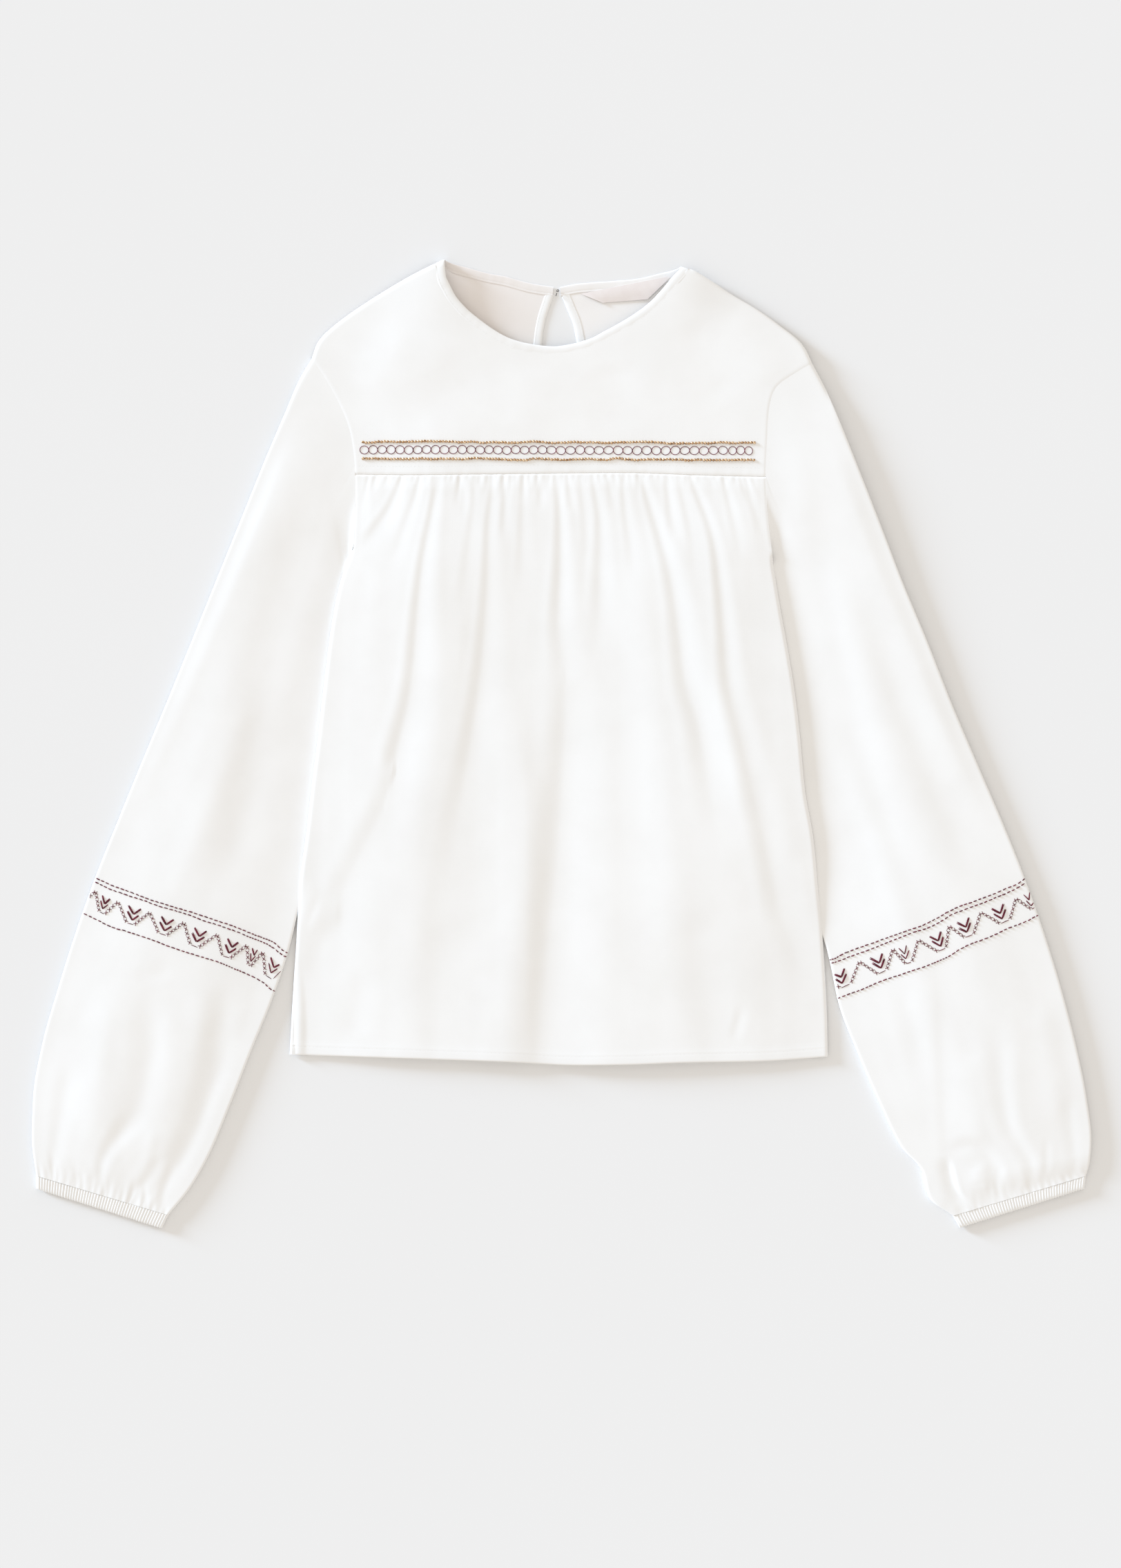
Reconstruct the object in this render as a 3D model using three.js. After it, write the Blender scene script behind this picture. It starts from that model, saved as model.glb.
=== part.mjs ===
// Long-sleeved smock top in cotton jersey, laid flat on its back on a level surface.
// Millimetres. +X to the right, +Y towards the neck, +Z up off the surface.
// The origin is the middle of the outline, on the surface the top lies on (z = 0).
// Layers, from the surface up: back panel and the lower walls of the sleeves, then the front panel
// and yoke and the upper walls of the sleeves. Below the underarms the body lies over the inner
// edges of the sleeves.
import * as THREE from 'three';

// ---------- driving dimensions ----------
const CLOTH = 1.2;          // wall of one layer of cloth
const SEAM = 0.3;           // gap between pieces sewn together
const EDGE_H = 3.0;         // height of a folded cloth edge, two walls and the air between
const AIR = 3.5;            // most air between front and back of the body
const SLEEVE_AIR = 3.2;     // most air inside a sleeve
const OVER_SLEEVE = 3.5;    // height of the back panel's underside where it lies over a sleeve
const OVER_WIDTH = 31;      // width of the strip of body that lies over a sleeve
const OVER_RUN = 26;        // length over which the back panel comes down to the surface
const NECK_BAND = 7.3;      // width of the neck binding
const NECK_WALL = 1.6;      // thickness of the neck binding
const SLIT_BAND = 6.4;      // width of the keyhole binding
const SLIT_LENGTH = 88;     // keyhole, from the neck edge down
const HEM_DEPTH = 7;        // turned hem
const HEM_EXTRA = 0.5;      // added thickness of the turned hem
const CUFF_H = 3.6;         // height of the flattened elastic cuff
const COTTON = 0xf4f3f0;

// Armhole seam of each side from the shoulder tip down to the underarm.
const ARMHOLE_A = rows(['x', 'y'], [
  [-187.8, 290.7], [-178.0, 276.1], [-168.1, 258.4], [-160.3, 239.7], [-156.7, 222.0],
  [-155.3, 203.8], [-155.1, 184.1], [-155.6, 165.9], [-156.1, 150.3]]);
const ARMHOLE_B = rows(['x', 'y'], [
  [188.6, 287.0], [173.0, 277.7], [161.1, 268.3], [156.4, 254.3], [154.6, 228.3],
  [153.5, 201.8], [154.3, 182.5], [155.9, 163.3], [158.0, 147.2]]);
const YOKE_ROW = 5;         // the armhole row at which the yoke seam meets the armhole

// Side seam of each side from the underarm down to the hem.
const SIDE_A = rows(['x', 'y'], [
  [-156.1, 150.3], [-160.8, 138.3], [-165.0, 126.9], [-169.7, 107.6], [-174.3, 80.1],
  [-178.5, 46.3], [-183.2, 4.7], [-187.8, -31.2], [-192.0, -67.6], [-196.7, -103.0],
  [-198.8, -135.7], [-201.4, -177.3], [-203.5, -213.7], [-204.5, -233.5]]);
const SIDE_B = rows(['x', 'y'], [
  [158.0, 147.2], [159.5, 135.7], [161.4, 123.2], [164.7, 103.5], [169.4, 77.5],
  [175.1, 43.7], [179.8, 4.7], [183.4, -34.3], [189.7, -70.7], [193.3, -109.7],
  [196.4, -140.9], [198.5, -172.1], [200.1, -208.5], [200.6, -235.0]]);

// Shoulder line of each side from the tip up to the neck point.
const SHOULDER_A = rows(['x', 'y'], [
  [-187.8, 290.7], [-183.2, 303.2], [-173.3, 313.6], [-156.1, 326.6], [-135.3, 340.1],
  [-114.0, 352.6], [-97.0, 361.2]]);
const SHOULDER_B = rows(['x', 'y'], [
  [188.6, 287.0], [181.3, 301.1], [165.8, 314.1], [147.6, 327.1], [128.3, 338.5],
  [112.7, 348.9], [100.2, 356.6]]);

// Free edges of the neck binding.
const NECK_FRONT = rows(['x', 'y'], [
  [-90.5, 360.4], [-85.6, 348.9], [-79.2, 337.0], [-70.9, 327.6], [-60.5, 318.8],
  [-50.1, 311.5], [-38.1, 305.2], [-25.1, 301.6], [-6.4, 299.5], [11.3, 302.1],
  [22.8, 305.8], [34.7, 312.0], [52.9, 322.4], [69.0, 334.9], [77.4, 344.2],
  [84.6, 352.6], [91.5, 359.4]]);
const NECK_BACK = rows(['x', 'y'], [
  [-87.0, 363.6], [-68.8, 358.8], [-55.2, 355.2], [-41.7, 352.6], [-22.5, 347.4],
  [-4.6, 344.8], [-1.4, 344.8], [13.9, 347.4], [34.7, 348.9], [57.6, 351.0],
  [73.7, 354.6], [89.0, 358.0]]);
const SLIT_ROW = 5;         // the keyhole opens between this row of the back neck edge and the next

// Keyhole at the centre back: half width and middle at each depth below the neck edge.
const KEYHOLE = rows(['down', 'mid', 'half'], [
  [0, -3.0, 1.6], [16, -2.6, 6.6], [28, -1.9, 10.7], [44, -1.4, 13.4], [58, -1.2, 14.2],
  [70, -1.2, 12.6], [79, -1.2, 9.0], [88, -1.2, 0.0]]);

// Yoke seam and hem from side to side.
const YOKE_SEAM = rows(['x', 'y'], [
  [-155.3, 203.8], [-110.9, 203.3], [-58.9, 203.8], [-6.9, 204.4], [46.1, 204.9],
  [97.1, 203.3], [153.5, 201.8]]);
const HEM = rows(['x', 'y'], [
  [-204.5, -233.5], [-152.5, -235.0], [-100.5, -236.6], [-40.7, -238.7], [11.3, -241.3],
  [50.3, -240.8], [91.9, -239.2], [149.6, -238.2], [200.6, -235.0]]);

// Sleeve stations from armhole to cuff: outer edge, inner edge, how far the station still follows
// the armhole's curve, the width tucked under the body, and the share of the full air.
const SLEEVE_COLUMNS = ['ox', 'oy', 'ix', 'iy', 'curve', 'tuck', 'air'];
const SLEEVE_A = rows(SLEEVE_COLUMNS, [
  [-187.8, 290.7, -156.1, 150.3, 1.00, 0, 0.55],
  [-197.2, 274.6, -161.3, 138.8, 0.85, 0, 0.65],
  [-208.1, 249.1, -165.6, 126.9, 0.65, 0, 0.75],
  [-222.7, 214.8, -158.7, 107.6, 0.45, 10, 0.85],
  [-239.8, 172.6, -153.0, 80.1, 0.28, 21, 0.95],
  [-258.1, 127.4, -152.5, 46.3, 0.14, 26, 1.00],
  [-276.2, 82.7, -158.7, 4.7, 0.05, 24, 1.00],
  [-296.5, 32.8, -166.0, -31.7, 0.00, 22, 1.00],
  [-317.3, -17.2, -177.5, -75.9, 0.00, 16, 1.00],
  [-335.5, -61.9, -194.1, -111.3, 0.00, 5, 1.00],
  [-349.6, -97.2, -205.5, -156.0, 0.00, 0, 1.00],
  [-365.2, -140.9, -218.0, -192.9, 0.00, 0, 1.00],
  [-378.7, -183.6, -233.1, -229.8, 0.00, 0, 1.00],
  [-390.7, -226.2, -249.2, -270.9, 0.00, 0, 1.00],
  [-397.4, -265.7, -265.9, -310.4, 0.00, 0, 0.95],
  [-398.4, -296.9, -279.9, -334.4, 0.00, 0, 0.80],
  [-395.1, -324.5, -295.8, -354.1, 0.00, 0, 0.45]]);
const SLEEVE_B = rows(SLEEVE_COLUMNS, [
  [188.6, 287.0, 158.0, 147.2, 1.00, 0, 0.55],
  [197.5, 269.9, 161.2, 135.7, 0.85, 0, 0.65],
  [208.9, 243.9, 163.2, 123.2, 0.65, 0, 0.75],
  [223.5, 207.5, 154.3, 103.5, 0.45, 10, 0.85],
  [240.6, 163.8, 150.2, 77.5, 0.28, 20, 0.95],
  [256.2, 123.2, 151.2, 43.7, 0.14, 24, 1.00],
  [274.4, 79.6, 158.0, 2.1, 0.05, 22, 1.00],
  [294.2, 29.6, 165.2, -36.9, 0.00, 19, 1.00],
  [315.5, -20.3, 175.1, -83.7, 0.00, 16, 1.00],
  [333.7, -62.9, 190.7, -125.3, 0.00, 5, 1.00],
  [347.8, -98.3, 201.6, -161.7, 0.00, 0, 1.00],
  [363.9, -144.0, 208.9, -195.5, 0.00, 0, 1.00],
  [376.9, -186.7, 223.5, -233.0, 0.00, 0, 1.00],
  [387.8, -229.3, 239.6, -269.9, 0.00, 0, 1.00],
  [395.1, -265.7, 256.2, -303.2, 0.00, 0, 0.95],
  [398.7, -296.9, 270.8, -329.2, 0.00, 0, 0.80],
  [394.8, -324.5, 294.7, -354.6, 0.00, 0, 0.45]]);

// Cuff stations: the upper edge beside the sleeve and the free lower edge.
const CUFF_A = rows(SLEEVE_COLUMNS, [
  [-395.2, -325.2, -296.0, -354.8, 0, 0, 0], [-395.4, -334.4, -300.8, -364.4, 0, 0, 0]]);
const CUFF_B = rows(SLEEVE_COLUMNS, [
  [394.9, -325.2, 295.0, -355.3, 0, 0, 0], [393.6, -334.4, 299.9, -363.8, 0, 0, 0]]);

// Gathers of the front panel: soft troughs from the yoke seam down. x at the seam, in the middle
// and at the end; y in the middle and at the end; depth; half width at the seam and at the end.
const GATHERS = rows(['x0', 'x1', 'x2', 'y1', 'y2', 'depth', 'w0', 'w2'], [
  [-121, -134, -155, 174, 146, 1.7, 6, 12],
  [-94, -109, -128, 100, -10, 2.4, 6, 20],
  [-53, -57, -90, 120, -100, 1.9, 6, 18],
  [-5, -3, -22, 160, -215, 2.6, 6, 34],
  [25, 27, 22, 150, 60, 1.6, 6, 14],
  [58, 88, 118, 90, -97, 2.6, 6, 22],
  [96, 119, 187, 110, -200, 2.6, 6, 24],
  [133, 146, 152, 170, 152, 1.5, 5, 9]]);

// ---------- small helpers ----------
function rows(columns, table) {
  return table.map(r => Object.fromEntries(columns.map((c, i) => [c, r[i]])));
}
const lerp = (a, b, t) => a + (b - a) * t;
const clamp = (v, a, b) => Math.min(b, Math.max(a, v));
const smooth = t => { const c = clamp(t, 0, 1); return c * c * (3 - 2 * c); };

// Value of one column of a table at a value of another column (monotonic), in straight stretches.
function lookUp(table, keyColumn, valueColumn, key) {
  const up = table[table.length - 1][keyColumn] > table[0][keyColumn];
  let i = 0;
  while (i < table.length - 2 && (up ? key > table[i + 1][keyColumn] : key < table[i + 1][keyColumn])) i++;
  const a = table[i], b = table[i + 1];
  return lerp(a[valueColumn], b[valueColumn], clamp((key - a[keyColumn]) / (b[keyColumn] - a[keyColumn]), 0, 1));
}

// Points of a line moved sideways by d, to the left of its direction.
function offsetLine(points, d) {
  return points.map((p, i) => {
    const a = points[Math.max(0, i - 1)], b = points[Math.min(points.length - 1, i + 1)];
    const l = Math.hypot(b.x - a.x, b.y - a.y);
    return { x: p.x - d * (b.y - a.y) / l, y: p.y + d * (b.x - a.x) / l };
  });
}

// Distance from a point to a line of points.
function distanceTo(line, x, y) {
  let best = Infinity;
  for (let i = 0; i + 1 < line.length; i++) {
    const a = line[i], b = line[i + 1], dx = b.x - a.x, dy = b.y - a.y;
    const t = clamp(((x - a.x) * dx + (y - a.y) * dy) / (dx * dx + dy * dy), 0, 1);
    best = Math.min(best, Math.hypot(x - a.x - dx * t, y - a.y - dy * t));
  }
  return best;
}

// Arc-length fractions of a line's own points.
function fractions(line) {
  const f = [0];
  for (let i = 1; i < line.length; i++)
    f.push(f[i - 1] + Math.hypot(line[i].x - line[i - 1].x, line[i].y - line[i - 1].y));
  return f.map(v => v / f[f.length - 1]);
}
function along(line, t, f = fractions(line)) {
  let i = 0;
  while (i < line.length - 2 && t > f[i + 1]) i++;
  const k = clamp((t - f[i]) / (f[i + 1] - f[i]), 0, 1);
  return { x: lerp(line[i].x, line[i + 1].x, k), y: lerp(line[i].y, line[i + 1].y, k) };
}
// A list of fractions with n more, evenly shared, in the gap after each of them.
function refine(list, n) {
  const out = [];
  for (let i = 0; i + 1 < list.length; i++)
    for (let k = 0; k <= n; k++) out.push(lerp(list[i], list[i + 1], k / (n + 1)));
  return [...out, list[list.length - 1]];
}

function meshOf(name, vertices, triangles, color = COTTON, roughness = 0.92, metalness = 0) {
  const g = new THREE.BufferGeometry();
  g.setAttribute('position', new THREE.Float32BufferAttribute(vertices.flat(), 3));
  g.setIndex(triangles.flat());
  g.computeVertexNormals();
  const m = new THREE.Mesh(g, new THREE.MeshStandardMaterial({ color, roughness, metalness }));
  m.name = name;
  return m;
}

// A wall of cloth over a grid of points {x, y, lo, hi}: grid[row][column], rows going down (-Y) and
// columns going right (+X). has(row, column) says which cells are there.
function wall(name, grid, has = () => true, color = COTTON) {
  const R = grid.length, C = grid[0].length, vertices = [], triangles = [], top = [], bottom = [];
  const cell = (r, c) => r >= 0 && c >= 0 && r < R - 1 && c < C - 1 && has(r, c);
  for (let r = 0; r < R; r++) {
    top.push([]); bottom.push([]);
    for (let c = 0; c < C; c++) {
      const used = cell(r, c) || cell(r - 1, c) || cell(r, c - 1) || cell(r - 1, c - 1);
      if (!used) { top[r].push(-1); bottom[r].push(-1); continue; }
      const p = grid[r][c];
      top[r].push(vertices.length); vertices.push([p.x, p.y, p.hi]);
      bottom[r].push(vertices.length); vertices.push([p.x, p.y, p.lo]);
    }
  }
  const quad = (a, b, c, d) => { triangles.push([a, b, c], [a, c, d]); };
  for (let r = 0; r < R - 1; r++) for (let c = 0; c < C - 1; c++) {
    if (!cell(r, c)) continue;
    quad(top[r][c], top[r + 1][c], top[r + 1][c + 1], top[r][c + 1]);
    quad(bottom[r][c], bottom[r][c + 1], bottom[r + 1][c + 1], bottom[r + 1][c]);
    if (!cell(r - 1, c)) quad(top[r][c + 1], bottom[r][c + 1], bottom[r][c], top[r][c]);
    if (!cell(r + 1, c)) quad(top[r + 1][c], bottom[r + 1][c], bottom[r + 1][c + 1], top[r + 1][c + 1]);
    if (!cell(r, c - 1)) quad(top[r][c], bottom[r][c], bottom[r + 1][c], top[r + 1][c]);
    if (!cell(r, c + 1)) quad(top[r + 1][c + 1], bottom[r + 1][c + 1], bottom[r][c + 1], top[r][c + 1]);
  }
  return meshOf(name, vertices, triangles, color);
}

// A tube wall through stations, each {outer: [...], inner: [...]} loops of [x, y, z] with the same
// count; open at both ends.
function tubeWall(name, stations, flip) {
  const n = stations[0].outer.length, vertices = [], triangles = [];
  const base = stations.map(s => {
    const at = vertices.length;
    vertices.push(...s.outer, ...s.inner);
    return at;
  });
  const tri = (a, b, c) => triangles.push(flip ? [a, c, b] : [a, b, c]);
  const quad = (a, b, c, d) => { tri(a, b, c); tri(a, c, d); };
  for (let k = 0; k < stations.length - 1; k++) for (let i = 0; i < n; i++) {
    const j = (i + 1) % n, a = base[k], b = base[k + 1];
    quad(a + i, b + i, b + j, a + j);
    quad(a + n + i, a + n + j, b + n + j, b + n + i);
  }
  const last = base[base.length - 1];
  for (let i = 0; i < n; i++) {
    const j = (i + 1) % n;
    quad(base[0] + i, base[0] + j, base[0] + n + j, base[0] + n + i);
    quad(last + i, last + n + i, last + n + j, last + j);
  }
  return meshOf(name, vertices, triangles);
}

// A strip of four-sided section through stations, each a list of four [x, y, z] corners.
function strip(name, stations, color = COTTON) {
  const vertices = stations.flat(), triangles = [], n = stations.length;
  const quad = (a, b, c, d) => { triangles.push([a, b, c], [a, c, d]); };
  for (let k = 0; k < n - 1; k++) for (let i = 0; i < 4; i++) {
    const j = (i + 1) % 4;
    quad(4 * k + i, 4 * k + j, 4 * k + 4 + j, 4 * k + 4 + i);
  }
  quad(3, 2, 1, 0);
  const e = 4 * (n - 1);
  quad(e, e + 1, e + 2, e + 3);
  return meshOf(name, vertices, triangles, color);
}

// ---------- heights of the body's layers ----------
const leftEdge = y => y > ARMHOLE_A[8].y ? lookUp(ARMHOLE_A, 'y', 'x', y) : lookUp(SIDE_A, 'y', 'x', y);
const rightEdge = y => y > ARMHOLE_B[8].y ? lookUp(ARMHOLE_B, 'y', 'x', y) : lookUp(SIDE_B, 'y', 'x', y);

// How fully the body lies over a sleeve at a height y: nothing at the underarm, all of it from the
// next row of the side seam, and nothing again where the sleeve comes out beside the body.
function overSleeve(y, side) {
  const seam = side < 0 ? SIDE_A : SIDE_B;
  return clamp((seam[0].y - y) / (seam[0].y - seam[2].y), 0, 1) * clamp((y - seam[11].y) / (seam[10].y - seam[11].y), 0, 1);
}
function backLow(x, y) {
  const l = x - leftEdge(y), r = rightEdge(y) - x;
  const a = overSleeve(y, -1) * (1 - clamp((l - OVER_WIDTH) / OVER_RUN, 0, 1));
  const b = overSleeve(y, 1) * (1 - clamp((r - OVER_WIDTH) / OVER_RUN, 0, 1));
  return OVER_SLEEVE * Math.max(a, b);
}
// Air under the front layer at the side of the body: some along the armhole seam, where the
// sleeve carries it on, and none at the shoulder tip, the underarm and the side seam.
function sideAir(y, side) {
  const top = side < 0 ? ARMHOLE_A[0].y : ARMHOLE_B[0].y, low = side < 0 ? ARMHOLE_A[8].y : ARMHOLE_B[8].y;
  return 0.55 * SLEEVE_AIR * smooth((top - y) / 26) * smooth((y - low) / 26);
}
const SHOULDERS = [SHOULDER_A, SHOULDER_B];
function air(x, y) {
  const l = smooth((x - leftEdge(y)) / 36), r = smooth((rightEdge(y) - x) / 36);
  let g = lerp(sideAir(y, -1), AIR, l);
  g = lerp(sideAir(y, 1), g, r);
  if (y > 255) g *= smooth(Math.min(...SHOULDERS.map(s => distanceTo(s, x, y))) / 24);
  return g;
}
const frontLow = (x, y) => backLow(x, y) + CLOTH + SEAM + air(x, y);

// Depth of the gathers at a point of the front panel, seam the height of the yoke seam there.
function gatherDepth(x, y, seam) {
  let d = 0;
  for (const g of GATHERS) {
    if (y < g.y2 - 30) continue;
    const upper = y > g.y1;
    const t = upper ? (seam - y) / (seam - g.y1) : (g.y1 - y) / (g.y1 - g.y2);
    const cx = upper ? lerp(g.x0, g.x1, t) : lerp(g.x1, g.x2, t);
    const whole = clamp((seam - y) / (seam - g.y2), 0, 1);
    const w = lerp(g.w0, g.w2, whole);
    const fade = smooth((seam - y) / 14) * (1 - smooth((g.y2 - y + 40) / 70));
    d = Math.max(d, g.depth * fade * Math.exp(-(((x - cx) / w) ** 2)));
  }
  return d;
}

// ---------- neck edges ----------
const frontBandOuter = offsetLine(NECK_FRONT, -NECK_BAND);
const frontNeckCut = offsetLine(NECK_FRONT, -(NECK_BAND + SEAM + 0.1));
const backBandOuter = offsetLine(NECK_BACK, -NECK_BAND);
const backNeckCut = offsetLine(NECK_BACK, -(NECK_BAND + SEAM + 0.1));

// A four-sided patch between its top, bottom, left and right lines (Coons).
function patch(topAt, bottomAt, leftAt, rightAt, us, vs) {
  return vs.map(v => us.map(u => {
    const T = topAt(u), B = bottomAt(u), L = leftAt(v), R = rightAt(v);
    const T0 = topAt(0), T1 = topAt(1), B0 = bottomAt(0), B1 = bottomAt(1);
    const f = k => (1 - v) * T[k] + v * B[k] + (1 - u) * L[k] + u * R[k]
      - ((1 - u) * (1 - v) * T0[k] + u * (1 - v) * T1[k] + (1 - u) * v * B0[k] + u * v * B1[k]);
    return { x: f('x'), y: f('y') };
  }));
}
// The body's edges, set in by half a seam from the armhole.
const armholeInA = offsetLine(ARMHOLE_A, 0.2), armholeInB = offsetLine(ARMHOLE_B, -0.2);
const armholeOutA = offsetLine(ARMHOLE_A, -0.2), armholeOutB = offsetLine(ARMHOLE_B, 0.2);

// ---------- front yoke ----------
function frontYoke() {
  const n = YOKE_ROW + 1;
  const top = [...SHOULDER_A.slice(0, -1), { x: -99.3, y: 359.4 }, ...frontNeckCut.slice(1, -1),
    { x: 101.3, y: 355.0 }, ...SHOULDER_B.slice(0, -1).reverse()];
  top[0] = armholeInA[0];
  top[top.length - 1] = armholeInB[0];
  const span = top[top.length - 1].x - top[0].x;
  const us = top.map(p => (p.x - top[0].x) / span);
  const bottom = YOKE_SEAM.map(p => ({ x: p.x, y: p.y + SEAM / 2 }));
  bottom[0] = armholeInA[YOKE_ROW]; bottom[bottom.length - 1] = armholeInB[YOKE_ROW];
  const L = armholeInA.slice(0, n), R = armholeInB.slice(0, n);
  const vs = refine(fractions(L), 0);
  const fL = fractions(L), fR = fractions(R);
  const grid = patch(
    u => { const i = us.findIndex(v => Math.abs(v - u) < 1e-9); return top[i]; },
    u => ({ x: lerp(bottom[0].x, bottom[bottom.length - 1].x, u), y: lookUp(bottom, 'x', 'y', lerp(bottom[0].x, bottom[bottom.length - 1].x, u)) }),
    v => along(L, v, fL),
    v => { // the other armhole is met at its own points, row for row
      let i = 0; while (i < vs.length - 2 && v > vs[i + 1]) i++;
      const k = clamp((v - vs[i]) / (vs[i + 1] - vs[i]), 0, 1);
      return { x: lerp(R[i].x, R[i + 1].x, k), y: lerp(R[i].y, R[i + 1].y, k) };
    }, us, vs);
  return wall('front_yoke', grid.map(row => row.map(p => {
    const lo = frontLow(p.x, p.y);
    return { ...p, lo, hi: lo + CLOTH };
  })));
}

// ---------- the body's rows below the yoke seam, shared by front and back ----------
const bodyLeft = [...armholeInA.slice(YOKE_ROW, -1), { x: SIDE_A[0].x + 0.2, y: SIDE_A[0].y }, ...SIDE_A.slice(2)];
const bodyRight = [...armholeInB.slice(YOKE_ROW, -1), { x: SIDE_B[0].x - 0.2, y: SIDE_B[0].y }, ...SIDE_B.slice(2)];
// Distances in from the side of the columns that stay at the side, so that both layers bend at the
// same places over the sleeves.
const SIDE_COLUMNS = [0, 15, OVER_WIDTH, OVER_WIDTH + OVER_RUN / 2, OVER_WIDTH + OVER_RUN];
function bodyRow(r, middle, lift) {
  const L = bodyLeft[r], R = bodyRight[r], v = r / (bodyLeft.length - 1), e = OVER_WIDTH + OVER_RUN;
  const xs = [...SIDE_COLUMNS.map(d => L.x + d), ...middle.map(m => lerp(L.x + e, R.x - e, m)),
    ...[...SIDE_COLUMNS].reverse().map(d => R.x - d)];
  return xs.map(x => {
    const u = (x - L.x) / (R.x - L.x);
    // rows bend from the line of the yoke seam to the line of the hem
    const seamBow = lookUp(YOKE_SEAM, 'x', 'y', x) - lerp(YOKE_SEAM[0].y, YOKE_SEAM[6].y, u);
    const hemBow = lookUp(HEM, 'x', 'y', x) - lerp(HEM[0].y, HEM[8].y, u);
    return { x, y: lerp(L.y, R.y, u) + (1 - v) * seamBow + v * v * hemBow - lift,
      low: OVER_SLEEVE * Math.max(overSleeve(L.y, -1) * (1 - clamp((x - L.x - OVER_WIDTH) / OVER_RUN, 0, 1)),
        overSleeve(R.y, 1) * (1 - clamp((R.x - x - OVER_WIDTH) / OVER_RUN, 0, 1))) };
  });
}

// ---------- front panel, gathered into the yoke seam ----------
function frontPanel() {
  const middle = Array.from({ length: 23 }, (_, i) => (i + 1) / 24);
  const grid = bodyLeft.map((_, r) => bodyRow(r, middle, r === 0 ? SEAM / 2 : 0));
  // one more row for the turned hem
  const lastRow = grid[grid.length - 1], before = grid[grid.length - 2];
  grid.splice(grid.length - 1, 0, lastRow.map((p, c) => {
    const q = before[c], k = HEM_DEPTH / Math.hypot(q.x - p.x, q.y - p.y);
    return { x: lerp(p.x, q.x, k), y: lerp(p.y, q.y, k), low: lerp(p.low, q.low, k) };
  }));
  return wall('front_panel', grid.map((row, r) => row.map(p => {
    const g = air(p.x, p.y), depth = gatherDepth(p.x, p.y, lookUp(YOKE_SEAM, 'x', 'y', p.x));
    const hem = smooth((p.y + 239) / 50), inside = Math.min(p.x - row[0].x, row[row.length - 1].x - p.x);
    const least = Math.min(g, 0.2 * smooth((inside - 12) / 20));
    const lo = p.low + CLOTH + SEAM + Math.max(least, g * lerp(0.55, 1, hem) - depth);
    return { x: p.x, y: p.y, lo, hi: lo + CLOTH + (r >= grid.length - 2 ? HEM_EXTRA : 0) };
  })));
}

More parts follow.
